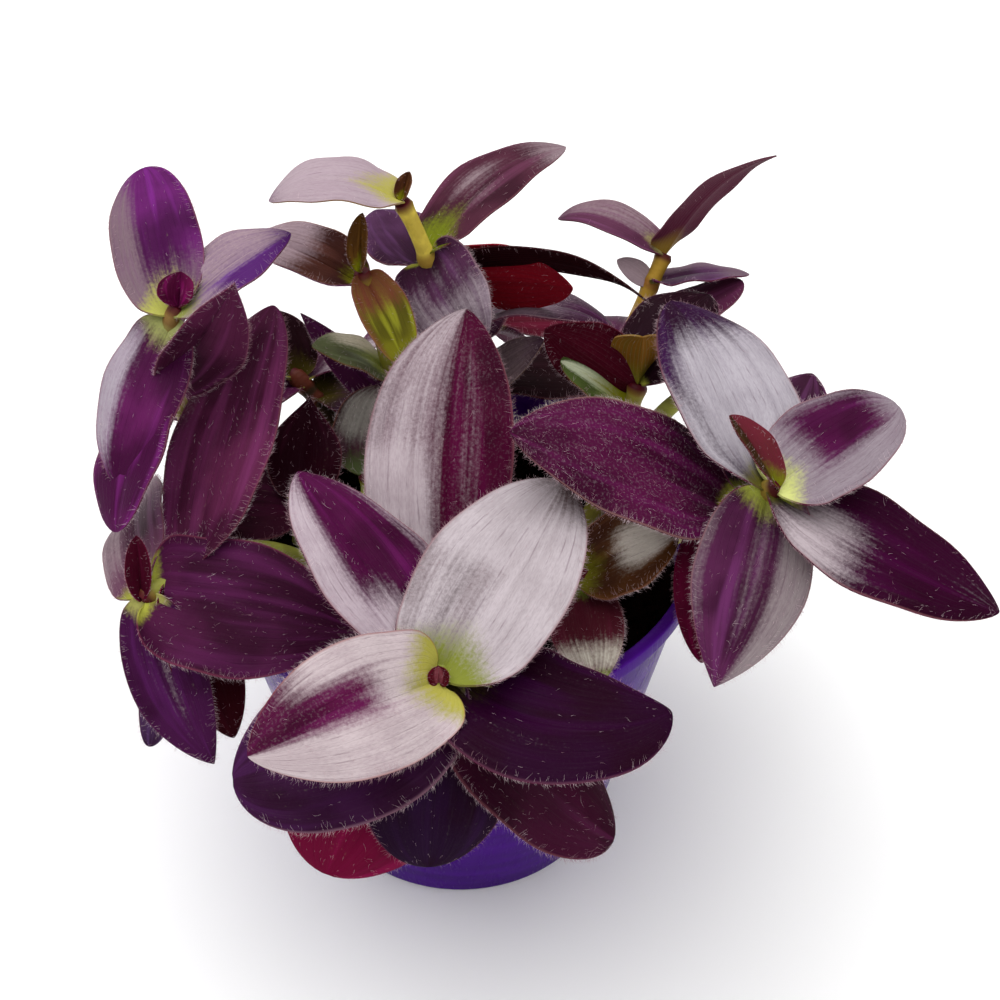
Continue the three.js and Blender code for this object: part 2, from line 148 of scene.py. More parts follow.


# The silvery areas are partly the leaf's own colour and partly painted sheen, a painted reflection of light.
# Coats: the colour of the blade and of its silver areas and underside, then the silver areas themselves.
# An area runs from side to side (-1 right margin, 1 left margin, looking from base to tip), then from
# share to share of the length, and ends with its strength. Green is the share of the length that is
# green at the base. Frost is a pale grain, fuzz the hairs on a square millimetre, fringe those on a
# millimetre of margin.
COAT = dict(
    body="471040", pale="b0a3a8", under="4f0f30", rim="7a4a50", tone="9a9c3c",
    silver=(), green=0.18, frost=0.006, fuzz=0.14, fringe=2.2,
)
# A coat silvery over most of the blade: partly the leaf's own colour, partly painted sheen.
SILVER_AND_SHEEN = dict(COAT, pale="b5aaaf", silver=(band(-0.2, 0.97, 1),), fuzz=0.08, frost=0.1)
PLUM = dict(COAT, body="481638", fuzz=0.26, green=0.08)
VIOLET = dict(COAT, body="541a50", pale="77626b", fuzz=0.08)
DARK = dict(COAT, body="2f0a2b", rim="5e3548", fuzz=0.08, green=0.2)
CRIMSON = dict(COAT, body="5c062c", under="60082c", rim="701838", green=0, frost=0.004)
OLIVE = dict(COAT, body="4a2a12", pale="cfc4b0", under="5a3a18", rim="8a5a48", tone="7f8014", green=0.6)
MAUVE = dict(COAT, body="5c3848", pale="9a878d", green=0.25)
WINE = dict(COAT, body="380d22", under="4a0a26", green=0.1, fuzz=0.3)


def leaf(at, turn, rise, roll, droop, long, wide, coat, **own):
    """A leaf on its stem, with angles in degrees: its place from root (0) to tip (1), compass turn,
    rise above the level, roll, droop from base to tip, length and width, coat, and what is its own."""
    shape = dict(
        sweep=0, tip=0, base=BASE_SHARE, sharp=TIP_SHARPNESS, fold=FOLD_ANGLE,
        at=at, turn=turn, rise=rise, roll=roll, droop=droop, long=long, wide=wide,
    )
    return SimpleNamespace(**{**shape, **coat, **own})


def shoot(root, bend, tip, stem, *leaves):
    """A leafy stem: its root on the soil, the point it bends towards, its tip, its colour, its leaves."""
    return SimpleNamespace(root=root, bend=bend, tip=tip, stem=stem, leaves=leaves)


SHOOTS = {
    "front_shoot": shoot(
        (-4, -22), (-3, -44, 112), (-2, -70, 116), "7d8a3a",
        leaf(.99, 227, 24, -35, 30, 47, 28, SILVER_AND_SHEEN, base=.7, body="4e1136", green=.3, tone="9a9440",
             pale="bfb0b3", silver=((.12, 1.2, -.2, 1.2, 1), band(-.2, .36, 1), (-1.2, -.5, -.2, .72, 1)),
             rim="8a4a44"),
        leaf(.98, 57, 28, 8, 24, 53, 33, SILVER_AND_SHEEN, base=.6, sharp=.6, green=.32, tone="70762c",
             body="4c3a3a", silver=((-1.2, .05, -.2, .88, 1), (-.2, 1.2, .42, .98, 1), band(-.2, .6, .62))),
        leaf(.9, 125, 25, 18, 16, 55, 31, COAT, base=.5, body="4a0e3a", green=.05, pale="b0a1a9",
             silver=((.5, 1.2, -.2, .95, 1), (-.1, 1.2, -.2, .34, 1), (-1.2, -.82, .2, .9, .6))),
        leaf(.92, 269, -50, -12, 30, 45, 33, DARK, base=.5, sharp=.5, body="1e0722", green=.44,
             tone="7d8630"),
        leaf(.86, 311, -6, 0, 3, 53, 33, DARK, sharp=.7, sweep=76, base=.25, body="22021e", green=.34,
             tone="3c340c"),
        leaf(.86, 328, -46, -4, 3, 59, 33, WINE, sweep=18, sharp=.55, body="3f0f2a"),
        leaf(.85, 236, -12, -14, 12, 50, 37, DARK, sweep=-48, sharp=.5, body="3a163a", rim="8a6474"),
        leaf(.79, 226, -52, -45, 6, 57, 42, CRIMSON, sharp=.5, body="6a0830"),
        leaf(1, 90, 80, 0, 5, 4, 5, CRIMSON, sharp=.5, base=.8, fold=50, fuzz=4, body="4a0a18",
             under="5a1420", rim="400812", silver=((-.5, .5, -.2, 1.2, .8),), pale="8c4652"),
    ),
    "left_shoot": shoot(
        (-30, 0), (-50, -12, 112), (-70, -35, 104), "8a8a3c",
        leaf(.97, 352, -4, 22, 10, 49, 33, PLUM, base=.8, sharp=1, body="461537", fuzz=.4, rim="7c3c50"),
        leaf(.97, 112, 5, -45, 45, 49, 23, MAUVE, base=.35, sharp=1, body="623850", green=.3,
             silver=(band(.6, 1.2, .8), (.3, 1.2, .2, 1.2, .6)), fuzz=.3),
        leaf(.97, 282, -40, 10, 30, 42, 18, DARK, sweep=22, base=.5, sharp=.9, body="42143f", green=.24,
             tone="b2b060", silver=((-.3, .3, .1, .75, .2),)),
        leaf(.85, 263, -55, -40, 25, 43, 12, MAUVE, sharp=.5, body="4a2d52"),
        leaf(.75, 76, 39, -16, 20, 66, 28, PLUM, sharp=.65, body="5c2344", fuzz=.35,
             silver=((.8, 1.2, .5, .95, .5),)),
        leaf(1, 95, 60, 0, 5, 15, 7, CRIMSON, fold=55, body="3a0518"),
        leaf(.86, 305, -42, -10, 20, 40, 18, CRIMSON, body="32060f"),
    ),
    "upper_left_shoot": shoot(
        (-30, 24), (-80, 6, 119), (-63, 15, 149), "8d7f45",
        leaf(.97, 111, 32, -20, 30, 44, 22, VIOLET, base=.5, sharp=.5, body="601c60", green=.34,
             tone="a8a850", silver=((.42, 1.2, -.2, .9, .9), band(-.2, .3, .6))),
        leaf(.97, 25, 42, 0, 40, 33, 22, MAUVE, base=.5, body="4c1f60", green=.4, tone="7f8440",
             pale="98828a", silver=((-.35, 1.2, .15, .95, .75), band(-.2, .4, .7))),
        leaf(.95, 247, -26, 0, 35, 41, 21, VIOLET, base=.5, sharp=.7, body="5c1c50", green=.28,
             tone="94985a", pale="a59aa5", silver=((-1.2, -.5, .1, .85, .9),), fringe=3),
        leaf(.75, 250, -15, 30, 30, 42, 25, VIOLET, sharp=.6, body="5a1a50", green=0),
        leaf(.67, 334, 59, 136, 0, 43, 22, PLUM, fold=40, base=.15, sharp=1.2, body="55203f", rim="8a5a68"),
        leaf(1, 80, 60, 0, 5, 8, 11, CRIMSON, fold=60, body="600e3e", under="4a0626"),
    ),
    "bud_shoot": shoot(
        (-8, 19), (-14, 26, 117), (-22, 28, 150), "8f8a35",
        leaf(.93, 154, 20, -15, 33, 33, 17, OLIVE, fold=40, body="4c2a22", pale="9d8890", green=.3,
             silver=(band(.5, 1.2, .9),), under="5a2a5a"),
        leaf(.97, 299, -15, 5, 45, 25, 13, OLIVE, base=.6, fold=35, sharp=.75, body="77741c", green=.1,
             tone="6a3a24", pale="6e3a2c", silver=(band(-.2, .4, .9), (-1.2, -.8, .1, .9, .8)),
             rim="a0525a"),
        leaf(.58, 195, 55, 0, 50, 24, 16, OLIVE, body="5a6040", green=.7, tone="8c9440",
             silver=((-1.2, -.2, .1, .8, .7),)),
        leaf(.4, 140, 27, -40, 5, 40, 9, VIOLET, sharp=1, body="3a1030"),
        leaf(1, 60, 85, 0, 5, 15, 7, OLIVE, fold=60, body="5a3a12", green=.5),
    ),
    "tall_shoot": shoot(
        (0, 32), (2, 41, 127), (-12, 31, 167), "cdb54a",
        leaf(1, 185, 38, 0, 84, 33, 20, SILVER_AND_SHEEN, pale="a6949c", green=.5, tone="a39c4a", body="7a5a70",
             rim="a08a90", fuzz=.03, fringe=.6, under="8a6a30"),
        leaf(.8, 52, 36, -10, 46, 46, 20, COAT, sweep=-22, body="4c2434", green=.42, tone="6c7618",
             pale="8f7c82", silver=((.1, .6, .35, .6, .7), band(.82, 1.2, .8), (-.6, 0, .35, .5, .5)),
             fringe=.8),
        leaf(.78, 287, -10, 42, 60, 26, 22, COAT, base=.8, sharp=.6, body="4c2844", rim="a08088",
             pale="a2949c", green=.04, silver=(band(.45, 1.2, .62), (-1.2, -.3, .2, 1.2, .5),
             (-.1, .15, .1, .5, .5), (.4, .6, .1, .8, .5)), fringe=3),
        leaf(.74, 118, 5, 0, 15, 32, 22, VIOLET, body="4a2a48"),
        leaf(.74, 345, 24, -65, 52, 64, 11, CRIMSON, sharp=1.4, body="24060c", under="1a0408",
             rim="5a1a20", pale="741020", silver=(band(-.2, .42, 1),), fuzz=.05, fringe=.8),
        leaf(.49, 5, 45, -28, 88, 47, 24, VIOLET, body="3c1634", green=.2, pale="8e7a86",
             silver=(band(.25, .7, .6),), fringe=.6, rim="b08a90"),
        leaf(1, 60, 60, 0, 5, 7, 5, OLIVE, fold=60),
        leaf(.7, 350, 14, -80, 28, 36, 22, CRIMSON, body="6a0a18", under="7c0c1c", fringe=.5),
        leaf(.3, 324, 52, 45, 8, 39, 13, OLIVE, body="4a3440", green=.3, rim="b09a98", pale="8a7478",
             silver=(band(.1, .9, .6),)),
        leaf(.45, 85, 15, 0, 45, 42, 26, PLUM),
    ),
    "far_shoot": shoot(
        (26, 30), (38, 38, 110), (52, 55, 137), "a07c2c",
        leaf(1, 165, 44, -14, 96, 33, 11, MAUVE, body="5a3048", green=.3, tone="9a9455", fringe=.4,
             pale="8f7a80", silver=((-1.2, .2, .1, .95, .6),), fuzz=.03),
        leaf(1, 5, 66, -60, 45, 43, 13, COAT, sharp=1.2, base=.8, body="4c2238", green=.38, tone="a88a30",
             fringe=.4, fuzz=.03, under="5a2438", rim="8a7078"),
        leaf(.88, 5, 18, -20, 30, 25, 16, VIOLET, base=.8, body="5a3458", fringe=.8,
             silver=(band(.7, 1.2, .7), (.3, 1.2, -.2, 1.2, .6))),
        leaf(.88, 170, 45, -40, 60, 11, 6, MAUVE, silver=(band(-.2, 1.2, 1),), fringe=.6),
        leaf(.62, 10, 33, 0, 8, 35, 18, COAT, sharp=.5, body="572642"),
        leaf(.5, 80, 5, 0, 40, 42, 25, PLUM),
        leaf(.5, 185, 20, 0, 40, 36, 22, WINE, body="2a0f16"),
    ),
    "middle_shoot": shoot(
        (30, 12), (39, 14, 102), (44, 20, 123), "8a8038",
        leaf(.98, 270, 80, 0, 5, 18, 17, OLIVE, base=.7, sharp=.5, fold=60, body="5a5c20", green=.9,
             tone="84862c", under="8a5a1c", rim="c9cf9a", fringe=.6),
        leaf(1, 50, 50, 0, 70, 32, 22, DARK, body="1f0a14", green=.1),
        leaf(.97, 165, 35, 100, 20, 28, 19, CRIMSON, body="44061a", under="46061a", rim="8a4a58"),
        leaf(.85, 175, 45, 0, 20, 22, 17, OLIVE, sharp=.6, body="4a5a2a", pale="c8cfb0", green=.9,
             silver=((-.35, .35, -.2, 1.2, .9),)),
    ),
    "right_shoot": shoot(
        (26, -10), (52, -16, 112), (71, -28, 132), "9a963a",
        leaf(.95, 107, 33, 10, 38, 55, 31, SILVER_AND_SHEEN, sweep=3, pale="aaa3ab", green=.2, tone="6f6a2a",
             body="2c0c30", silver=((-1.2, .72, .06, .74, 1), (.7, 1.2, -.2, .5, .8))),
        leaf(.97, 26, 32, 10, 30, 34, 25, COAT, base=.6, sharp=.5, body="470b38", green=.3, pale="8c8088",
             tone="c3c878", silver=(band(-.2, .34, 1), (-1.2, -.35, -.2, 1.2, 1), (.8, 1.2, .2, .9, .7),
             band(.88, 1.2, .9))),
        leaf(.95, 330, -12, 0, 5, 55, 30, COAT, sweep=6, body="2c011f", green=.14, tone="5a5a20",
             silver=((-1.2, .25, .1, .38, .95), (-.2, .8, .86, .98, .35))),
        leaf(.95, 257, -28, -15, 30, 45, 26, COAT, sweep=-7, base=.5, sharp=1, body="552348",
             pale="8e8284", green=.22, tone="9aa040", fuzz=.3, silver=((.42, 1.2, .1, 1, 1),
             (-.1, .14, .05, .8, .55), (-1.2, -.8, .1, .8, .5))),
        leaf(.98, 165, 64, -15, 20, 21, 10, CRIMSON, fold=50, body="4a3818", under="4e1420", fuzz=.5,
             pale="6e2434", silver=((-1.2, 0, -.2, 1.2, 1),), green=.5, tone="7a7a1c"),
        leaf(.75, 188, 40, -20, 28, 56, 31, PLUM, sweep=5, base=.5, body="490f34", frost=.12, fuzz=.6,
             rim="8a6a60", fringe=3.2),
        leaf(.85, 60, 28, 0, 20, 36, 22, VIOLET, body="4a2440"),
        leaf(.7, 262, -35, 0, 20, 34, 16, CRIMSON),
        leaf(.62, 12, -10, 0, 30, 42, 24, PLUM),
    ),
    "central_shoot": shoot(
        (-8, -14), (-6, -20, 94), (-3, -25, 107), "7d8a3a",
        leaf(.98, 97, 54, -18, 34, 60, 35, SILVER_AND_SHEEN, sweep=-14, base=.8, sharp=.75, body="430526",
             pale="b9aab0", frost=.06, green=0, silver=((.1, 1.2, -.2, .5, 1), (.04, 1.2, .3, 1.2, .62),
             (-.5, -.3, .1, .9, .45), (-.05, .05, 0, .95, .5))),
    ),
    "young_shoot": shoot(
        (20, -22), (24, -26, 92), (29, -30, 108), "8a8038",
        leaf(.95, 5, 40, 10, 30, 25, 23, OLIVE, base=.5, sharp=.6, body="4a2a10", pale="c5bcb2", green=.4,
             tone="5c5814", silver=((-.5, .5, .45, .92, 1),), fuzz=.6, fringe=4),
        leaf(.9, 277, -2, 0, 24, 28, 17, COAT, base=.5, body="461420", pale="c9c2b4", green=.3, tip=.18,
             tone="6f8426", silver=(band(.68, .86, 1),), fringe=4),
    ),
    "inner_left_shoot": shoot(
        (-40, 8), (-39, 5, 90), (-38, 5, 99), "a8ac40",
        leaf(.95, 82, 58, 0, 14, 26, 19, WINE, sharp=1.4, body="2c0816", fuzz=.4),
        leaf(.85, 193, 24, -25, 30, 31, 22, WINE),
    ),
    "inner_shoot": shoot(
        (-22, 6), (-22, 10, 94), (-22, 12, 101), "a8ac40",
        leaf(.95, 66, 66, 0, 10, 23, 23, OLIVE, sharp=.5, body="4a2c34", pale="9a968e", green=.5,
             tone="55603a", silver=((-.6, .9, .35, .95, .8),), fuzz=.4),
    ),
    "back_left_shoot": shoot(
        (-24, 36), (-37, 40, 106), (-44, 46, 106), "3c2c1c",
        leaf(.85, 118, 54, 0, 20, 19, 15, WINE, body="1f0a10", green=.6, tone="3c340e"),
        leaf(.9, 140, 10, 0, 60, 44, 25, VIOLET, silver=((.3, 1.2, .1, .9, .9),)),
        leaf(.8, 80, 0, 0, 60, 44, 26, PLUM, silver=((-1.2, -.4, .1, .9, .8),)),
        leaf(.75, 185, 5, 0, 40, 38, 22, PLUM),
        leaf(.62, 12, 10, 0, 20, 30, 24, WINE, body="3a1c34", green=.5, tone="3c340e"),
    ),
    "back_shoot": shoot(
        (6, 43), (6, 55, 120), (6, 76, 100), "8a8a3c",
        leaf(.98, 95, -20, 0, 40, 44, 28, SILVER_AND_SHEEN, body="4a1545", silver=((.1, 1.2, -.2, 1.2, 1),
             band(-.2, .3, 1))),
        leaf(.96, 25, 0, 0, 50, 42, 26, WINE, silver=(), body="4a0a1c"),
        leaf(.92, 165, 0, 0, 50, 40, 26, PLUM, silver=((.4, 1.2, .1, .9, .8),)),
        leaf(.75, 55, -35, 0, 30, 46, 27, DARK),
        leaf(.8, 140, -45, 0, 30, 42, 26, WINE),
    ),
    "back_right_shoot": shoot(
        (38, 22), (49, 29, 120), (70, 44, 102), "8a8a3c",
        leaf(.98, 30, -20, 0, 40, 40, 26, SILVER_AND_SHEEN, body="4a1545", silver=((-1.2, .1, -.2, 1.2, 1),)),
        leaf(.92, 95, -15, 0, 50, 42, 26, VIOLET, silver=((.3, 1.2, .1, .9, .8),)),
        leaf(.9, 330, -25, 0, 40, 38, 24, PLUM),
        leaf(.75, 60, -30, 0, 30, 46, 26, DARK),
    ),
}


def colour_property(name, description, code):
    return FloatVectorProperty(name=name, description=description, subtype="COLOR", default=shade(code))


def length_property(name, description, size):
    """A length, given in millimetres."""
    return FloatProperty(name=name, description=description, unit="LENGTH", default=size * MM)


class PotSettings(bpy.types.PropertyGroup):
    """Sizes and colours of the pot."""

    violet: colour_property("Violet", "Colour of the moulded plastic", "44067c")
    roughness: FloatProperty(
        name="Roughness", description="How dull the plastic is", subtype="FACTOR", default=0.24, min=0, max=1
    )
    rounding: length_property("Rounding", "Radius of the lip's and foot's edges", 0.7)
    segments: IntProperty(name="Segments", description="Flats round the pot", default=128, min=24)


class SoilSettings(bpy.types.PropertyGroup):
    """Sizes and colours of the potting mix."""

    brown: colour_property("Brown", "Colour of the moist mix", "0e0605")
    crumb_size: length_property("Crumb size", "Radius of a middling crumb", 0.9)
    crumbs: IntProperty(name="Crumbs", description="Loose crumbs on the top", default=1500, min=0)
    fibres: IntProperty(name="Fibres", description="Coir fibres on the top", default=160, min=0)


class FoliageSettings(bpy.types.PropertyGroup):
    """Sizes and colours of the leaves, stems and hairs."""

    blade_thickness: length_property("Blade thickness", "Thickness of a leaf", 0.4)
    hair_length: length_property("Hair length", "Length of a middling hair", 3.1)
    hair_width: length_property("Hair width", "Width of a hair at its root", 0.095)
    hair_density: FloatProperty(
        name="Hair density", description="Share of the usual number of hairs", default=1, min=0, max=2
    )
    hair_colour: colour_property("Hair colour", "Colour of the fine hairs", "dcc4ca")


class StageSettings(bpy.types.PropertyGroup):
    """The floor and the light."""

    floor_size: length_property("Floor size", "Width of the pale floor", 6000)
    brightness: FloatProperty(
        name="Brightness", description="Strength of the light all round", default=1, min=0
    )


class Value:
    """A socket that takes part in sums; each sum adds a Math node."""

    def __init__(self, finish, socket):
        self.finish, self.socket = finish, socket

    def math(self, operation, *terms):
        return self.finish.node("ShaderNodeMath", {"operation": operation}, dict(enumerate(terms)))

    def __add__(self, other):
        return self.math("ADD", self, other)

    def __sub__(self, other):
        return self.math("SUBTRACT", self, other)

    def __rsub__(self, other):
        return self.math("SUBTRACT", other, self)

    def __mul__(self, other):
        return self.math("MULTIPLY", self, other)

    def __abs__(self):
        return self.math("ABSOLUTE", self)

    __radd__ = __add__
    __rmul__ = __mul__


class Finish:
    """A material whose nodes are added by one method."""

    def __init__(self, name, **constants):
        self.material = bpy.data.materials.new(name)
        self.material.use_nodes = True
        self.tree = self.material.node_tree
        self.shader = self.tree.nodes["Principled BSDF"]
        for socket, value in constants.items():
            self.shader.inputs[socket.replace("_", " ")].default_value = value

    def node(self, kind, settings=None, inputs=None, output=0):
        made = self.tree.nodes.new(kind)
        for key, value in (settings or {}).items():
            setattr(made, key, value)
        for key, value in (inputs or {}).items():
            self.feed(made.inputs[key], value)
        return Value(self, made.outputs[output])

    def feed(self, socket, value):
        if isinstance(value, Value):
            self.tree.links.new(value.socket, socket)
        elif socket.type == "RGBA":
            socket.default_value = (*value, 1)
        else:
            socket.default_value = value

    def paint(self, **channels):
        for name, value in channels.items():
            self.feed(self.shader.inputs[name.replace("_", " ")], value)

    def place(self):
        return self.node("ShaderNodeTexCoord", output="Object")

    def blade_place(self):
        """Shares across a blade, from margin to margin, and along it, from base to tip."""
        uv = self.node("ShaderNodeUVMap", {"uv_map": "UVMap"})
        return [self.node("ShaderNodeSeparateXYZ", None, {"Vector": uv}, i) for i in (0, 1)]

    def wave(self, phase):
        return self.node("ShaderNodeMath", {"operation": "COSINE"}, {0: phase * FULL_TURN})

    def brightened(self, colour, factors):
        return self.mix(1, colour, factors, "MULTIPLY")

    def attribute(self, name, output="Fac"):
        return self.node("ShaderNodeAttribute", {"attribute_name": name}, output=output)

    def noise(self, vector, scale, detail=2, roughness=0.5):
        inputs = {"Vector": vector, "Scale": scale, "Detail": detail, "Roughness": roughness}
        return self.node("ShaderNodeTexNoise", None, inputs)

    def vector(self, x, y, z):
        return self.node("ShaderNodeCombineXYZ", None, {0: x, 1: y, 2: z})

    def step(self, value, low, high, start=0, end=1):
        settings = {"interpolation_type": "SMOOTHSTEP"}
        inputs = {"Value": value, "From Min": low, "From Max": high, "To Min": start, "To Max": end}
        return self.node("ShaderNodeMapRange", settings, inputs)

    def mix(self, share, first, second, blend="MIX"):
        settings = {"data_type": "RGBA", "blend_type": blend}
        return self.node("ShaderNodeMix", settings, {0: share, 6: first, 7: second}, output=2)

    def bump(self, height, distance, strength=1):
        inputs = {"Height": height, "Distance": distance, "Strength": strength}
        return self.node("ShaderNodeBump", None, inputs)


def blade_finish():
    """The upper face of a leaf: purple with painted shade and painted sheen, silvery areas that are partly
    painted sheen and end in streaks, green base, fine grain.
    """
    f = Finish("leaf_upper", IOR=1.12, Specular_IOR_Level=0.3)
    u, v = f.blade_place()
    seed = f.attribute("leaf_seed")
    out = abs(u * 2 - 1)
    streak = f.noise(f.vector(u * 26, v * 1.5, seed * 31), 1, 3)
    fine = f.noise(f.vector(u * 90, v * 4, seed * 17), 1, 2)
    grain = f.noise(f.place(), 1700, 2, 0.6)
    speckle = f.noise(f.place(), 1300, 3, 0.7)
    cloud = f.noise(f.place(), 130, 2)
    broad = f.noise(f.place(), 42, 1)
    sheen = f.noise(f.vector(u * 6, v * 1.1, seed * 11), 1, 2)
    thread = f.noise(f.vector(u * 110, v * 40, seed * 5), 1, 2)
    bend = f.noise(f.vector(u * 3, v * 2, seed * 7), 1, 1) * 1.2
    line = f.step(f.wave(u * VEINS + bend), 0.8, 0.99)
    dash = f.step(f.noise(f.vector(u * 44, v * 9, seed * 3), 1, 2), 0.5, 0.66)
    body, pale, tone, rim = (f.attribute(name, "Color") for name in ("body", "pale", "tone", "rim"))
    # Silvery areas: partly the leaf's own colour, partly painted sheen; their tone drifts at random towards
    # mauve.
    patch = f.attribute("silver") * 1.2 - 0.1
    silver = f.step(patch + (streak - 0.5) * 0.7 + (speckle - 0.5) * 0.7, 0.02, 0.98)
    green = f.attribute("green")
    greened = f.step(green + (streak - 0.5) * 0.5 + (speckle - 0.5) * 0.6, 0.1, 0.8)
    frost = f.step(grain, 0.5, 0.72) * f.attribute("frost")
    # Painted shade: random dark-wine clouds darken the purple, standing in for shade on the blade.
    painted_shade = f.step(broad + (cloud - 0.5) * 0.4, 0.35, 0.62, 0.6, 0)
    shaded_body = f.mix(painted_shade, body, (0.012, 0.0004, 0.004))
    # Painted sheen: lengthwise streaks lighten the purple, standing in for a soft highlight.
    lit_body = f.mix(f.step(sheen, 0.48, 0.72, 0, 0.8), shaded_body, f.brightened(body, (1.6, 1.7, 1.9)))
    ribbed = f.mix(line * dash * 0.2, lit_body, (0.003, 0.0005, 0.002))
    light_body = f.mix(f.step(fine, 0.5, 0.8, 0, 0.012), ribbed, pale)
    grained = f.mix(frost, light_body, pale)
    mauve = f.mix(0.45, pale, body)
    cool = f.mix(f.step(streak + (cloud - 0.5) * 0.8, 0.25, 0.7, 0.42, 0), pale, mauve)
    with_silver_and_sheen = f.mix(silver * f.step(thread, 0.3, 0.6, 0.86, 1), grained, cool)
    veined = f.mix(line * dash * silver * 0.34, with_silver_and_sheen, shade("4f3040"))
    dotted = f.mix(f.step(fine, 0.3, 0.18, 0, 0.35) * silver, veined, body)
    yellow = f.mix(f.step(green, 0.5, 1), tone, f.brightened(tone, (1.2, 1.2, 1.3)))
    based = f.mix(greened, dotted, yellow)
    edged = f.mix(f.step(out, 0.955, 1, 0, 0.6), based, rim)
    height = line * -0.35 + fine * 0.3 + thread * 0.3 + grain * 0.5
    f.paint(
        Base_Color=edged,
        Roughness=0.42 + silver * 0.12 + (grain - 0.5) * 0.2,
        Normal=f.bump(height, 0.0002, 0.6),
    )
    return f.material


def underside_finish():
    """The lower face and the margin's edge, with parallel veins."""
    f = Finish("leaf_underside", IOR=1.12, Specular_IOR_Level=0.3)
    u, v = f.blade_place()
    seed = f.attribute("leaf_seed")
    streak = f.noise(f.vector(u * 30, v * 2, seed * 31), 1, 3)
    grain = f.noise(f.place(), 1500, 2)
    line = f.step(f.wave(u * VEINS), 0.7, 0.99)
    under = f.attribute("under", "Color")
    tinted = f.mix(f.step(streak, 0.35, 0.7, 0, 0.35), under, f.attribute("body", "Color"))
    veined = f.mix(line * 0.1, tinted, f.attribute("rim", "Color"))
    based = f.mix(f.step(f.attribute("green"), 0.35, 1, 0, 0.8), veined, f.attribute("tone", "Color"))
    f.paint(
        Base_Color=f.mix(f.step(grain, 0.5, 0.75, 0, 0.03), based, f.attribute("pale", "Color")),
        Roughness=0.45 + grain * 0.15,
        Normal=f.bump(line * 0.7 + grain * 0.4, 0.0002, 0.7),
    )
    return f.material


def stem_finish():
    """Juicy stems: yellow-green to olive, flushed red at the nodes."""
    f = Finish("stem", IOR=1.3, Specular_IOR_Level=0.3)
    place = f.place()
    flush = f.attribute("flush")
    mottle = f.noise(place, 220, 3)
    fine = f.noise(place, 1400, 2)
    colour = f.attribute("stem_colour", "Color")
    lit = f.mix(f.step(mottle, 0.4, 0.7, 0, 0.6), colour, f.brightened(colour, (1.5, 1.6, 1.6)))
    reddish = f.mix(f.step(flush + (mottle - 0.5) * 0.7, 0.4, 0.95, 0, 0.55), lit, shade("6e2418"))
    tipped = f.mix(f.attribute("crown"), reddish, shade("4c0e1a"))
    f.paint(
        Base_Color=f.mix(f.step(fine, 0.55, 0.8, 0, 0.14), tipped, shade("4a1a20")),
        Roughness=0.4 + fine * 0.15,
        Normal=f.bump(fine + mottle, 0.0002, 0.5),
    )
    return f.material


def hair_finish(colour):
    """Fine pale hairs, a little pinker in some places."""
    f = Finish("hair", Specular_IOR_Level=0.3)
    tint = f.noise(f.place(), 90, 1)
    f.paint(Base_Color=f.mix(f.step(tint, 0.4, 0.65), colour, shade("b48a94")), Roughness=0.6 - tint * 0.1)
    return f.material


def pot_finish(settings):
    """Glossy violet plastic with faint moulding flow and fine scuffs, and a painted highlight on the lip."""
    f = Finish("violet_plastic", IOR=1.1, Coat_Roughness=0.1, Specular_IOR_Level=0.5)
    place = f.place()
    flow = f.noise(f.node("ShaderNodeMapping", None, {0: place, 3: (30, 30, 260)}), 1, 3)
    scuff = f.noise(f.node("ShaderNodeMapping", None, {0: place, 3: (900, 900, 90)}), 1, 2)
    height = f.node("ShaderNodeSeparateXYZ", None, {0: place}, 2)
    violet = tuple(settings.violet)
    deep = tuple(0.72 * c for c in violet)
    # Painted highlight: from the top of the wall up, the lip is a quarter lighter violet, as where light
    # falls on it.
    lip = f.step(height, (POT_HEIGHT - LIP_HEIGHT - 0.4) * MM, (POT_HEIGHT - LIP_HEIGHT) * MM, 0, 0.25)
    f.paint(
        Base_Color=f.mix(lip, f.mix(f.step(flow, 0.35, 0.7), violet, deep), shade("5a2a9c")),
        Roughness=settings.roughness + f.step(scuff, 0.5, 0.75, 0, 0.14),
        Coat_Weight=0.005 + flow * 0.015,
        Normal=f.bump(flow * 0.6 + scuff * 0.2, 0.00012, 0.35),
    )
    return f.material


def soil_finish(brown, name, light):
    """Moist, almost black mix with reddish bits."""
    f = Finish(name, IOR=1.06, Specular_IOR_Level=0.1)
    place = f.place()
    lump = f.noise(place, 260, 4, 0.65)
    bit = f.noise(place, 1300, 2)
    dark = tuple(0.35 * c for c in brown)
    mixed = f.mix(f.step(lump, 0.35, 0.7), dark, tuple(light * c for c in brown))
    f.paint(
        Base_Color=f.mix(f.step(bit, 0.6, 0.75, 0, 0.35), mixed, shade("34140c")),
        Roughness=0.75 + lump * 0.3,
        Normal=f.bump(lump + bit * 0.5, 0.0009, 0.9),
    )
    return f.material


def floor_finish():
    """A plain pale matt floor with the faintest unevenness."""
    f = Finish("pale_floor", Specular_IOR_Level=0.1)
    tint = f.noise(f.place(), 3, 2)
    f.paint(Base_Color=f.mix(tint, shade("fbfbfa"), shade("fefefd")), Roughness=0.9 + tint * 0.05)
    return f.material


def clear_selection():
    """Leaves edit mode and deselects everything, so that an operator acts on the new piece alone."""
    if bpy.context.object and bpy.context.object.mode != "OBJECT":
        bpy.ops.object.mode_set(mode="OBJECT")
    bpy.ops.object.select_all(action="DESELECT")


def choose(objects):
    """Selects these objects and makes the first the active one."""
    clear_selection()
    for item in objects:
        item.select_set(True)
    bpy.context.view_layer.objects.active = objects[0]


def apply_modifier(item, kind, **settings):
    """Adds a modifier and applies it."""
    choose([item])
    modifier = item.modifiers.new(kind.title(), kind)
    for key, value in settings.items():
        setattr(modifier, key, value)
    bpy.ops.object.modifier_apply(modifier=modifier.name)


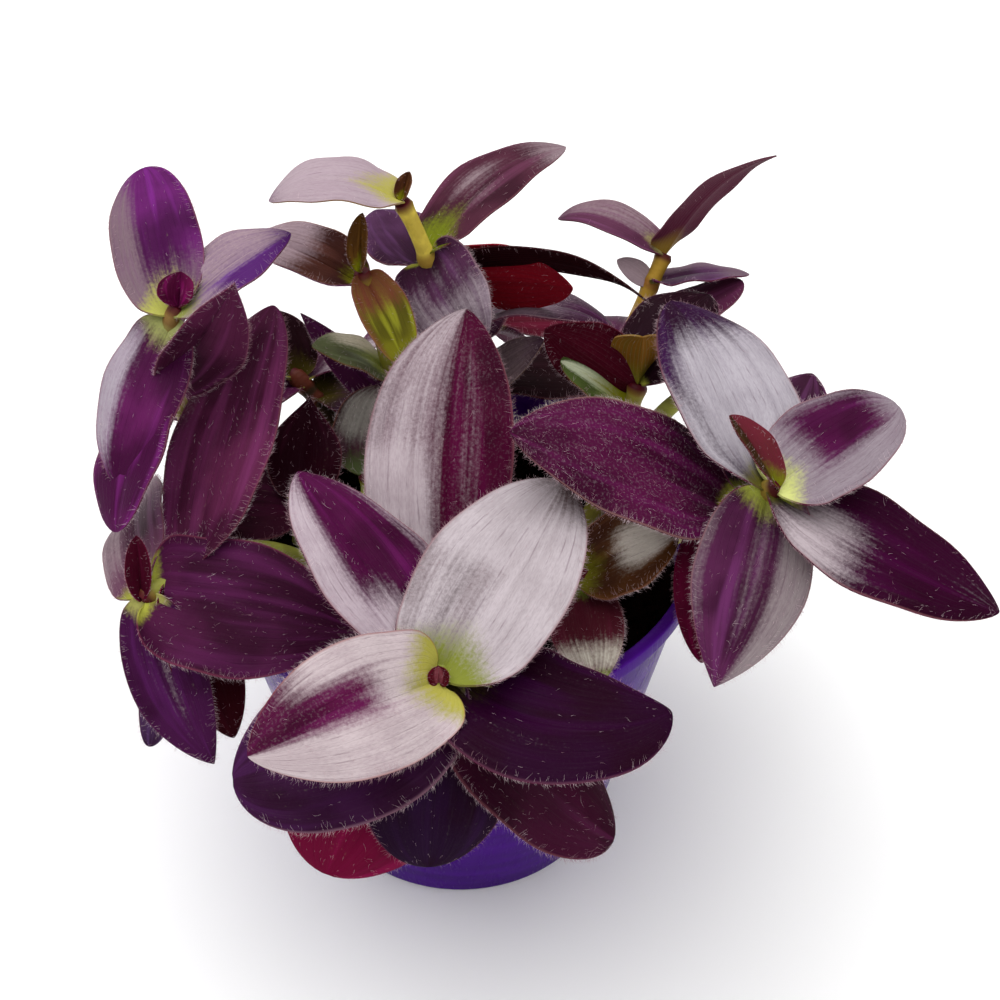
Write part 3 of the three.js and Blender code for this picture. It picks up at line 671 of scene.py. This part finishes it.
def store(mesh, name, values, kind="FLOAT"):
    """Keeps one number or colour for each vertex."""
    values = np.asarray(values, np.float32)
    key = "value" if kind == "FLOAT" else "color"
    mesh.attributes.new(name, kind, "POINT").data.foreach_set(key, values.ravel())


def store_colour(mesh, name, code):
    """Keeps the same colour for every vertex."""
    store(mesh, name, np.tile((*shade(code), 1), (len(mesh.vertices), 1)), "FLOAT_COLOR")


def vertices_of(mesh):
    """The vertices as rows of three numbers."""
    found = np.empty(len(mesh.vertices) * 3, np.float32)
    mesh.vertices.foreach_get("co", found)
    return found.reshape(-1, 3)


def add_object(name, data):
    """A new object in the scene."""
    item = bpy.data.objects.new(name, data)
    bpy.context.collection.objects.link(item)
    return item


def add_mesh(name, points, faces, finish):
    """A new object of these points, in metres, and triangles."""
    mesh = bpy.data.meshes.new(name)
    mesh.from_pydata(points.reshape(-1, 3), [], faces.reshape(-1, 3))
    mesh.materials.append(finish)
    return add_object(name, mesh)


def taken_shape(item):
    """The points and faces of a template, which is then removed."""
    shape = vertices_of(item.data).astype(float)
    faces = np.array([face.vertices[:] for face in item.data.polygons])
    bpy.data.objects.remove(item)
    return shape, faces


def finish_piece(item, name, node=None):
    """Settles a piece: its name, its body and the solid it stands for."""
    item.name = item.data.name = name
    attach(item, "root")
    if node:
        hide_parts(node)


def smoothstep(low, high, value):
    """Rises smoothly from 0 at `low` to 1 at `high`."""
    share = np.clip((value - low) / (high - low), 0, 1)
    return share * share * (3 - 2 * share)


def within(low, high, blur, value):
    """1 between two limits and 0 outside them, with soft ends."""
    return smoothstep(low - blur, low + blur, value) * smoothstep(high + blur, high - blur, value)


def stem_point(shoot_data, share):
    """Points on a stem's line, from below the soil (0) to its growing tip (1), in millimetres."""
    t = np.asarray(share, float).reshape(-1, 1)
    root = np.array([*shoot_data.root, SOIL_TOP - ROOT_DEPTH])
    bend, tip = np.array(shoot_data.bend), np.array(shoot_data.tip)
    return (1 - t) ** 2 * root + 2 * t * (1 - t) * bend + t**2 * tip


def midrib(base, data):
    """Point, direction, left and face at each step of a midrib, which droops more towards its tip."""
    turn, rise = math.radians(data.turn), math.radians(data.rise)
    ahead = Vector((math.cos(rise) * math.cos(turn), math.cos(rise) * math.sin(turn), math.sin(rise)))
    left = Vector((-math.sin(turn), math.cos(turn), 0))
    left.rotate(Quaternion(ahead, math.radians(data.roll)))
    point = Vector(base)
    rows = []
    for i in range(STEPS + 1):
        face = ahead.cross(left)
        rows.append([*point, *ahead, *left, *face])
        droop = math.radians(data.droop) * (0.5 + (i + 0.5) / STEPS) / STEPS
        sweep = Quaternion(face, math.radians(data.sweep) / STEPS)
        point += ahead * (0.5 * data.long / STEPS)
        ahead.rotate(Quaternion(left, droop))
        ahead.rotate(sweep)
        left.rotate(sweep)
        point += ahead * (0.5 * data.long / STEPS)
    return np.array(rows)


def half_width(data, t):
    """Half the blade's width at the shares `t` of its length."""
    to_tip = np.clip((t - WIDEST_AT) / (1 - WIDEST_AT), 0, 1)
    from_base = 1 - (1 - np.minimum(t, WIDEST_AT) / WIDEST_AT) ** 2
    tip_part = (1 - to_tip**2) ** data.sharp
    base_part = data.base + (1 - data.base) * from_base**BASE_FULLNESS
    return 0.5 * data.wide * np.where(t > WIDEST_AT, tip_part, base_part)


def blade_points(data, rows, side, t):
    """Points on a blade, in millimetres, for the sides -1 (right margin) to 1 and shares of length."""
    place = np.clip(t, 0, 1) * STEPS
    low = np.minimum(place.astype(int), STEPS - 1)
    share = (place - low)[:, None]
    row = rows[low] * (1 - share) + rows[low + 1] * share
    lobe = np.sqrt(1 - np.clip(1 - t / LOBE_LENGTH, 0, 1) ** 2)
    half = half_width(data, t) * (LOBE_SHARE + (1 - LOBE_SHARE) * lobe)
    out = np.abs(side)
    bowl = CLASP_ANGLE * np.clip(1 - t / CLASP_LENGTH, 0, 1) ** 1.5
    fold = np.radians(data.fold * (1 - 0.5 * t))
    arch = np.radians(MARGIN_ARCH - bowl) * out
    stretch = half * out * np.sinc(arch / (2 * math.pi))
    across = stretch * np.cos(fold - arch / 2)
    up = stretch * np.sin(fold - arch / 2)
    size = min(1, data.wide / FULL_WAVE_WIDTH)
    wave = np.sin(2 * math.pi * (WAVES * t + data.phase) + 2 * np.sign(side)) * out**2 * np.sin(math.pi * t)
    groove = np.exp(-((out * half / GROOVE_WIDTH) ** 2)) * np.sqrt(np.clip(1 - t, 0, 1))
    up += size * (MARGIN_WAVE * wave - GROOVE_DEPTH * groove)
    return row[:, 0:3] + row[:, 6:9] * (np.sign(side) * across)[:, None] + row[:, 9:12] * up[:, None]


def silver_and_sheen_share(data, side, t):
    """How much of the silvery areas, partly own colour and partly painted sheen, reaches each point."""
    share = np.zeros_like(t)
    for right, left, start, end, strength in data.silver:
        sides = within(right, left, SIDE_BLUR, side)
        lengths = within(start, end, LENGTH_BLUR, t)
        share = np.maximum(share, strength * sides * lengths)
    return share


def make_blade(data, rows, finishes):
    """A flat grid bent onto its blade, painted by attributes. Its face looks along the leaf's face."""
    bpy.ops.mesh.primitive_grid_add(x_subdivisions=ACROSS, y_subdivisions=ALONG, size=2)
    item = bpy.context.object
    mesh = item.data
    flat = vertices_of(mesh)
    side = -flat[:, 0].astype(float)
    t = 0.5 - 0.5 * np.cos(0.5 * math.pi * (flat[:, 1] + 1))
    placed = blade_points(data, rows, side, t) * MM
    mesh.vertices.foreach_set("co", placed.astype(np.float32).ravel())
    uv = mesh.uv_layers[0].data
    corner = np.empty(len(mesh.loops), np.int32)
    mesh.loops.foreach_get("vertex_index", corner)
    uv.foreach_set("uv", np.stack([0.5 - 0.5 * side[corner], t[corner]], 1).astype(np.float32).ravel())
    mesh.uv_layers[0].name = "UVMap"
    reach = max(data.green, 1e-3)
    green = np.clip(1 - t / reach * (1 + GREEN_ARCH * side**2), 0, 1) * min(1, data.green * 50)
    if data.tip:
        green = np.maximum(green, TIP_GREEN * smoothstep(1 - data.tip, 1 - 0.4 * data.tip, t))
    silver = silver_and_sheen_share(data, side, t)
    shares = {"silver": silver, "green": green, "frost": data.frost, "leaf_seed": data.phase}
    for name, values in shares.items():
        store(mesh, name, np.broadcast_to(values, len(t)))
    for name in ("body", "pale", "tone", "rim", "under"):
        store_colour(mesh, name, getattr(data, name))
    for material in finishes:
        mesh.materials.append(material)
    return item


def make_stem(data, finish):
    """A round stem along its line, swollen at its nodes and sheathed below them."""
    share = np.linspace(0, 1, STEM_STATIONS)
    points = stem_point(data, share)
    strides = np.linalg.norm(np.diff(points, axis=0), axis=1)
    length = np.concatenate([[0], np.cumsum(strides)])
    radius = STEM_LOW + (STEM_HIGH - STEM_LOW) * share
    flush = np.zeros(STEM_STATIONS)
    for item in data.leaves:
        below = np.interp(item.at, share, length) - length
        node = np.exp(-((below / NODE_REACH) ** 2))
        sheath = np.where((below > 0) & (below < SHEATH_LENGTH), 1 - below / SHEATH_LENGTH, 0)
        radius = np.maximum(radius, STEM_HIGH + 0.1 + NODE_SWELL * node + SHEATH_FLARE * sheath)
        flush = np.maximum(flush, node)
    crown = smoothstep(length[-1] - CROWN_START, length[-1] - CROWN_END, length)
    radius[-1] *= CROWN_SHRINK
    curve = bpy.data.curves.new("stem_line", "CURVE")
    curve.dimensions = "3D"
    curve.bevel_depth = MM
    curve.bevel_resolution = 4
    curve.use_fill_caps = True
    spline = curve.splines.new("POLY")
    spline.points.add(STEM_STATIONS - 1)
    for knot, point, size in zip(spline.points, points * MM, radius):
        knot.co = (*point, 1)
        knot.radius = size
    choose([add_object("stem", curve)])
    bpy.ops.object.convert(target="MESH")
    item = bpy.context.object
    mesh = item.data
    spread = np.linalg.norm(vertices_of(mesh)[:, None] / MM - points[None], axis=2)
    store(mesh, "flush", flush[spread.argmin(1)])
    store(mesh, "crown", crown[spread.argmin(1)])
    store_colour(mesh, "stem_colour", data.stem)
    mesh.materials.clear()
    mesh.materials.append(finish)
    return item


def model_hair():
    """One straight hair of length 1, standing on the origin: a slim cone cut across, so that it can bend."""
    clear_selection()
    bpy.ops.mesh.primitive_cone_add(
        vertices=3, radius1=0.5, radius2=0, depth=1, location=(0, 0, 0.5), end_fill_type="NOTHING"
    )
    item = bpy.context.object
    bpy.ops.object.mode_set(mode="EDIT")
    for height in (0.35, 0.7):
        bpy.ops.mesh.select_all(action="SELECT")
        bpy.ops.mesh.bisect(plane_co=(0, 0, height), plane_no=(0, 0, 1))
    bpy.ops.mesh.select_all(action="SELECT")
    bpy.ops.mesh.quads_convert_to_tris()
    bpy.ops.object.mode_set(mode="OBJECT")
    shape, faces = taken_shape(item)
    shape[:, :2] *= 1 + 1.7 * shape[:, 2:]
    return shape, faces


def plant_copies(name, template, roots, bends, rises, lengths, widths, finish):
    """Copies of a hair, each on its root, standing along its rise and bowed towards its bend."""
    shape, faces = template
    count, corners = len(roots), len(shape)
    bends = unit(bends - rises * np.sum(bends * rises, axis=1, keepdims=True))
    sides = np.cross(rises, bends)
    thick, wide, height = (shape[:, i][None, :, None] for i in range(3))
    lengths, widths = lengths[:, None, None], widths[:, None, None]
    points = (
        roots[:, None]
        + rises[:, None] * (height * (1 - HAIR_NOD * height) * lengths)
        + bends[:, None] * (HAIR_BOW * height**2 * lengths + thick * widths)
        + sides[:, None] * (wide * widths)
    )
    triangles = faces[None] + corners * np.arange(count)[:, None, None]
    item = add_mesh(name, points, triangles, finish)
    item.data.shade_smooth()
    return item


def unit(vectors):
    """Rows of vectors at length 1."""
    return vectors / np.maximum(np.linalg.norm(vectors, axis=1, keepdims=True), 1e-9)


def hair_rows(data, rows, random, density):
    """Roots, rises and bends of the hairs on one blade: on its face, its underside and its margins."""
    area = 0.7 * data.long * data.wide
    on_face = int(FACE_HAIRS * area * data.fuzz * density)
    on_back = int(BACK_HAIRS * on_face)
    on_margin = int(MARGIN_HAIRS * data.long * data.fringe * density)
    count = on_face + on_back + on_margin
    side = random.uniform(-0.97, 0.97, count)
    t = random.uniform(0.03, 0.97, count)
    margin = np.arange(count) >= on_face + on_back
    side[margin] = np.where(random.random(on_margin) < 0.5, -0.995, 0.995)
    t[margin] = random.uniform(0.02, 0.995, on_margin)

    def beside(aside, onward):
        return blade_points(data, rows, np.clip(side + aside, -1, 1), np.minimum(t + onward, 1))

    here = beside(0, 0)
    across = unit(beside(0.02, 0) - beside(-0.02, 0))
    ahead = unit(beside(0, 0.01) - beside(0, -0.01))
    face = unit(np.cross(ahead, across))
    back = (np.arange(count) >= on_face) & ~margin
    face[back] *= -1
    wander = random.normal(0, 0.32, (count, 3))
    rises = unit(0.5 * face + 0.6 * ahead + wander)
    outward = across * np.sign(side)[:, None]
    lift = random.normal(0.15, 0.45, (on_margin, 1))
    lean = random.normal(0.35, 0.35, (on_margin, 1))
    rises[margin] = unit(outward[margin] + lift * face[margin] + lean * ahead[margin] + 0.3 * wander[margin])
    bends = unit(ahead + 0.5 * random.normal(0, 1, (count, 3)))
    roots = here + np.where(margin[:, None], 0, 0.2) * face
    size = np.where(margin, 1.05, 0.85) * random.uniform(0.35, 1.25, count) * min(1, 0.35 + data.wide / 30)
    return roots, rises, bends, size


def outside(height):
    """The pot's outer radius at a height, in millimetres."""
    return FOOT_RADIUS + WALL_SLOPE * height


def model_pot(settings):
    """The pot, grown from its foot disc ring by ring: up the wall, over the lip, down inside."""
    rounding = settings.rounding / MM
    wall_top = POT_HEIGHT - LIP_HEIGHT

    def corner(radius, height, start):
        turns = [start + math.radians(22.5 * i) for i in range(5)]
        return [(radius + rounding * math.cos(a), height + rounding * math.sin(a)) for a in turns]

    profile = [(FOOT_RADIUS - 3, 0.6), (FOOT_RADIUS - 1.6, 0)]
    profile += corner(FOOT_RADIUS - rounding, rounding, -math.pi / 2)
    profile += [(outside(z), z) for z in (20, 40, 60, 80, wall_top - 1)]
    profile += corner(RIM_RADIUS - rounding, wall_top + rounding, -math.pi / 2)
    profile += corner(RIM_RADIUS - rounding, POT_HEIGHT - rounding, 0)
    inner_edge = outside(POT_HEIGHT) - WALL
    profile += corner(inner_edge + rounding, POT_HEIGHT - rounding, math.pi / 2)
    profile += [(outside(z) - WALL, z) for z in (84, 60, 30, FLOOR + 1.5)]
    profile += [(outside(FLOOR) - WALL - 1.2, FLOOR)]
    item = turned(profile, settings.segments)
    for i in range(DRAIN_HOLES):
        angle = 2 * math.pi * i / DRAIN_HOLES
        place = (DRAIN_CIRCLE * MM * math.cos(angle), DRAIN_CIRCLE * MM * math.sin(angle), 0)
        clear_selection()
        bpy.ops.mesh.primitive_cylinder_add(
            vertices=32, radius=DRAIN_RADIUS * MM, depth=4 * FLOOR * MM, location=place
        )
        drill = bpy.context.object
        apply_modifier(item, "BOOLEAN", operation="DIFFERENCE", object=drill, solver="EXACT")
        bpy.data.objects.remove(drill)
    choose([item])
    bpy.ops.object.shade_smooth_by_angle(angle=math.radians(40))
    item.data.materials.append(pot_finish(settings))
    finish_piece(item, "pot_shell", "pot")


def turned(profile, segments):
    """A round form: a disc at the profile's first point, extruded and resized to each next one."""
    clear_selection()
    radius, height = profile[0]
    bpy.ops.mesh.primitive_circle_add(
        vertices=segments, radius=radius * MM, fill_type="NGON", location=(0, 0, height * MM)
    )
    item = bpy.context.object
    bpy.ops.object.transform_apply()
    bpy.ops.object.mode_set(mode="EDIT")
    bpy.ops.mesh.select_all(action="SELECT")
    for next_radius, next_height in profile[1:]:
        rise = (0, 0, (next_height - height) * MM)
        bpy.ops.mesh.extrude_region_move(TRANSFORM_OT_translate={"value": rise})
        ratio = next_radius / radius
        bpy.ops.transform.resize(value=(ratio, ratio, 1), center_override=(0, 0, next_height * MM))
        radius, height = next_radius, next_height
    bpy.ops.object.mode_set(mode="OBJECT")
    return item


def model_soil(settings):
    """The mix: a plug with a finely ringed top, raised and sunk by two cloudy reliefs."""

    def inside(height):
        return outside(height) - WALL - SOIL_GAP

    bottom = FLOOR + SOIL_GAP
    profile = [(inside(bottom) - 1, bottom), (inside(SOIL_TOP - 2), SOIL_TOP - 2)]
    edge = inside(SOIL_TOP) - 0.4
    profile += [(edge * (1 - i / SOIL_RINGS), SOIL_TOP - 0.8) for i in range(SOIL_RINGS)]
    item = turned(profile, SOIL_SEGMENTS)
    heights = vertices_of(item.data)[:, 2] / MM
    top = item.vertex_groups.new(name="top")
    top.add([int(i) for i in np.nonzero(heights > SOIL_TOP - 1.5)[0]], 1, "REPLACE")
    for size, strength in SOIL_RELIEFS:
        texture = bpy.data.textures.new("lumps", "CLOUDS")
        texture.noise_scale = size * MM
        texture.noise_depth = 2
        apply_modifier(
            item, "DISPLACE", texture=texture, texture_coords="LOCAL", direction="Z", vertex_group="top",
            strength=strength * MM, mid_level=0.5,
        )
    mesh = item.data
    mesh.shade_smooth()
    mesh.materials.append(soil_finish(tuple(settings.brown), "potting_mix", 0.8))
    finish_piece(item, "soil_bed", "soil")
    return inside(SOIL_TOP)


def strewn(random, count, reach):
    """Random places spread evenly over a disc."""
    around = random.uniform(0, 2 * math.pi, count)
    out = reach * np.sqrt(random.random(count))
    return out * np.cos(around), out * np.sin(around)


def scatter_soil(settings, reach):
    """Crumbs and fibres that lie on the mix."""
    random = np.random.default_rng(SOIL_SEED)
    clear_selection()
    bpy.ops.mesh.primitive_ico_sphere_add(subdivisions=1, radius=1)
    ball_points, ball_faces = taken_shape(bpy.context.object)
    count = settings.crumbs
    x, y = strewn(random, count, reach - 2)
    size = settings.crumb_size / MM * np.exp(random.normal(0, 0.4, count))
    centre = np.stack([x, y, SOIL_TOP - 0.2 + 0.4 * size], 1)
    stretch = random.uniform(0.6, 1.4, (count, 1, 3))
    jitter = random.uniform(0.75, 1.25, (count, len(ball_points), 1))
    points = centre[:, None] + ball_points[None] * stretch * jitter * size[:, None, None]
    faces = ball_faces[None] + len(ball_points) * np.arange(count)[:, None, None]
    finish = soil_finish(tuple(settings.brown), "crumbs", 1.2)
    finish_piece(add_mesh("soil_crumbs", points * MM, faces, finish), "soil_crumbs")

    count = settings.fibres
    x, y = strewn(random, count, reach - 9)
    roots = np.stack([x, y, np.full(count, SOIL_TOP + 0.5)], 1)
    heading = random.uniform(0, 2 * math.pi, count)
    flat = np.stack([np.cos(heading), np.sin(heading), random.uniform(-0.03, 0.16, count)], 1)
    fibres = plant_copies(
        "soil_fibres", model_hair(), roots * MM, random.normal(0, 1, (count, 3)), unit(flat),
        random.uniform(4, 9, count) * MM, random.uniform(0.4, 0.9, count) * MM,
        soil_finish(shade("4a2216"), "fibre", 1.3),
    )
    finish_piece(fibres, "soil_fibres")


def model_foliage(name, data, finishes, thickness):
    """One leafy stem: its blades given their thickness together, then joined to its stem."""
    blades = [make_blade(item, item.rows, finishes[:2]) for item in data.leaves]
    choose(blades)
    if len(blades) > 1:
        bpy.ops.object.join()
    foliage = bpy.context.object
    bpy.ops.object.mode_set(mode="EDIT")
    bpy.ops.mesh.select_all(action="SELECT")
    bpy.ops.mesh.remove_doubles(threshold=0.02 * MM)
    bpy.ops.object.mode_set(mode="OBJECT")
    apply_modifier(
        foliage, "SOLIDIFY", thickness=thickness, offset=0, material_offset=1, material_offset_rim=1
    )
    choose([foliage, make_stem(data, finishes[2])])
    bpy.context.view_layer.objects.active = foliage
    bpy.ops.object.join()
    choose([foliage])
    bpy.ops.object.shade_smooth_by_angle(angle=math.radians(50))
    finish_piece(foliage, name + "_foliage", name)


def settle_leaves():
    """Gives each leaf its midrib and its own phase, by which its margin waves and its streaks differ."""
    random = np.random.default_rng(LEAF_SEED)
    for data in SHOOTS.values():
        for item in data.leaves:
            item.rows = midrib(stem_point(data, item.at)[0], item)
            item.phase = random.random()


class TRADESCANTIA_OT_pot(bpy.types.Operator):
    """Model the violet pot"""

    bl_idname = "tradescantia.pot"
    bl_label = "Pot"

    def execute(self, context):
        model_pot(context.scene.plant_pot)
        return {"FINISHED"}


class TRADESCANTIA_OT_soil(bpy.types.Operator):
    """Model the potting mix with its crumbs and fibres"""

    bl_idname = "tradescantia.soil"
    bl_label = "Soil"

    def execute(self, context):
        settings = context.scene.plant_soil
        scatter_soil(settings, model_soil(settings))
        return {"FINISHED"}


class TRADESCANTIA_OT_foliage(bpy.types.Operator):
    """Model every leafy stem"""

    bl_idname = "tradescantia.foliage"
    bl_label = "Foliage"

    def execute(self, context):
        finishes = blade_finish(), underside_finish(), stem_finish()
        for name, data in SHOOTS.items():
            model_foliage(name, data, finishes, context.scene.plant_foliage.blade_thickness)
        return {"FINISHED"}


class TRADESCANTIA_OT_hairs(bpy.types.Operator):
    """Plant the fine hairs on every leaf"""

    bl_idname = "tradescantia.hairs"
    bl_label = "Hairs"

    def execute(self, context):
        settings = context.scene.plant_foliage
        random = np.random.default_rng(HAIR_SEED)
        template = model_hair()
        finish = hair_finish(tuple(settings.hair_colour))
        for name, data in SHOOTS.items():
            rows = [hair_rows(item, item.rows, random, settings.hair_density) for item in data.leaves]
            roots, rises, bends, size = (np.concatenate(part) for part in zip(*rows))
            lengths = size * settings.hair_length
            widths = np.full(len(size), settings.hair_width)
            hairs = plant_copies("hairs", template, roots * MM, bends, rises, lengths, widths, finish)
            finish_piece(hairs, name + "_hairs")
        return {"FINISHED"}


class TRADESCANTIA_OT_stage(bpy.types.Operator):
    """Set up the floor, the light and the camera"""

    bl_idname = "tradescantia.stage"
    bl_label = "Stage"

    def execute(self, context):
        settings = context.scene.plant_stage
        clear_selection()
        bpy.ops.mesh.primitive_circle_add(
            vertices=96, radius=settings.floor_size / 2, fill_type="NGON", location=(0, 0, -FLOOR_DROP)
        )
        floor = context.object
        floor.name = "floor"
        floor.data.materials.append(floor_finish())
        for name, place, size, power in LIGHTS:
            add_light(name, place, size, power * settings.brightness)
        add_world(AMBIENT * settings.brightness)
        add_camera()
        context.scene.view_settings.view_transform = "Standard"
        return {"FINISHED"}


def add_light(name, place, size, power):
    """A square soft light that looks at the plant."""
    light = bpy.data.lights.new(name, "AREA")
    light.size = size
    light.energy = power
    item = add_object(name, light)
    item.location = place
    item.rotation_euler = (TARGET * MM - Vector(place)).to_track_quat("-Z", "Y").to_euler()


def add_world(strength):
    """Even light from all round, in front of a white ground."""
    world = bpy.data.worlds.new("studio")
    world.use_nodes = True
    nodes, links = world.node_tree.nodes, world.node_tree.links
    background = nodes["Background"]
    path = nodes.new("ShaderNodeLightPath")
    level = nodes.new("ShaderNodeMapRange")
    links.new(path.outputs["Is Camera Ray"], level.inputs["Value"])
    level.inputs["To Min"].default_value = strength
    level.inputs["To Max"].default_value = 1
    links.new(level.outputs["Result"], background.inputs["Strength"])
    background.inputs["Color"].default_value = (1, 1, 1, 1)
    bpy.context.scene.world = world


def add_camera():
    """The photograph's viewpoint."""
    camera = bpy.data.cameras.new("camera")
    camera.lens = LENS
    item = add_object("camera", camera)
    item.location = EYE * MM
    item.rotation_euler = (TARGET - EYE).to_track_quat("-Z", "Y").to_euler()
    bpy.context.scene.camera = item


class TRADESCANTIA_PT_panel(bpy.types.Panel):
    """Lists the plant's pieces and their settings."""

    bl_label = "Potted Tradescantia"
    bl_idname = "TRADESCANTIA_PT_panel"
    bl_space_type = "VIEW_3D"
    bl_region_type = "UI"
    bl_category = "Tradescantia"

    def draw(self, context):
        for operator, settings in STEPS_IN_ORDER:
            box = self.layout.box()
            box.operator(operator)
            group = getattr(context.scene, settings)
            for key in group.bl_rna.properties.keys():
                if key not in {"rna_type", "name"}:
                    box.prop(group, key)


STEPS_IN_ORDER = (
    ("tradescantia.pot", "plant_pot"),
    ("tradescantia.soil", "plant_soil"),
    ("tradescantia.foliage", "plant_foliage"),
    ("tradescantia.hairs", "plant_foliage"),
    ("tradescantia.stage", "plant_stage"),
)
SETTINGS = {
    "plant_pot": PotSettings,
    "plant_soil": SoilSettings,
    "plant_foliage": FoliageSettings,
    "plant_stage": StageSettings,
}
CLASSES = (
    *SETTINGS.values(),
    TRADESCANTIA_OT_pot,
    TRADESCANTIA_OT_soil,
    TRADESCANTIA_OT_foliage,
    TRADESCANTIA_OT_hairs,
    TRADESCANTIA_OT_stage,
    TRADESCANTIA_PT_panel,
)


def register():
    for item in CLASSES:
        bpy.utils.register_class(item)
    for name, group in SETTINGS.items():
        setattr(bpy.types.Scene, name, PointerProperty(type=group))


def unregister():
    for name in SETTINGS:
        delattr(bpy.types.Scene, name)
    for item in reversed(CLASSES):
        bpy.utils.unregister_class(item)


def main():
    register()
    settle_leaves()
    bpy.ops.tradescantia.pot()
    bpy.ops.tradescantia.soil()
    bpy.ops.tradescantia.foliage()
    bpy.ops.tradescantia.hairs()
    bpy.ops.tradescantia.stage()


if __name__ == "__main__":
    main()
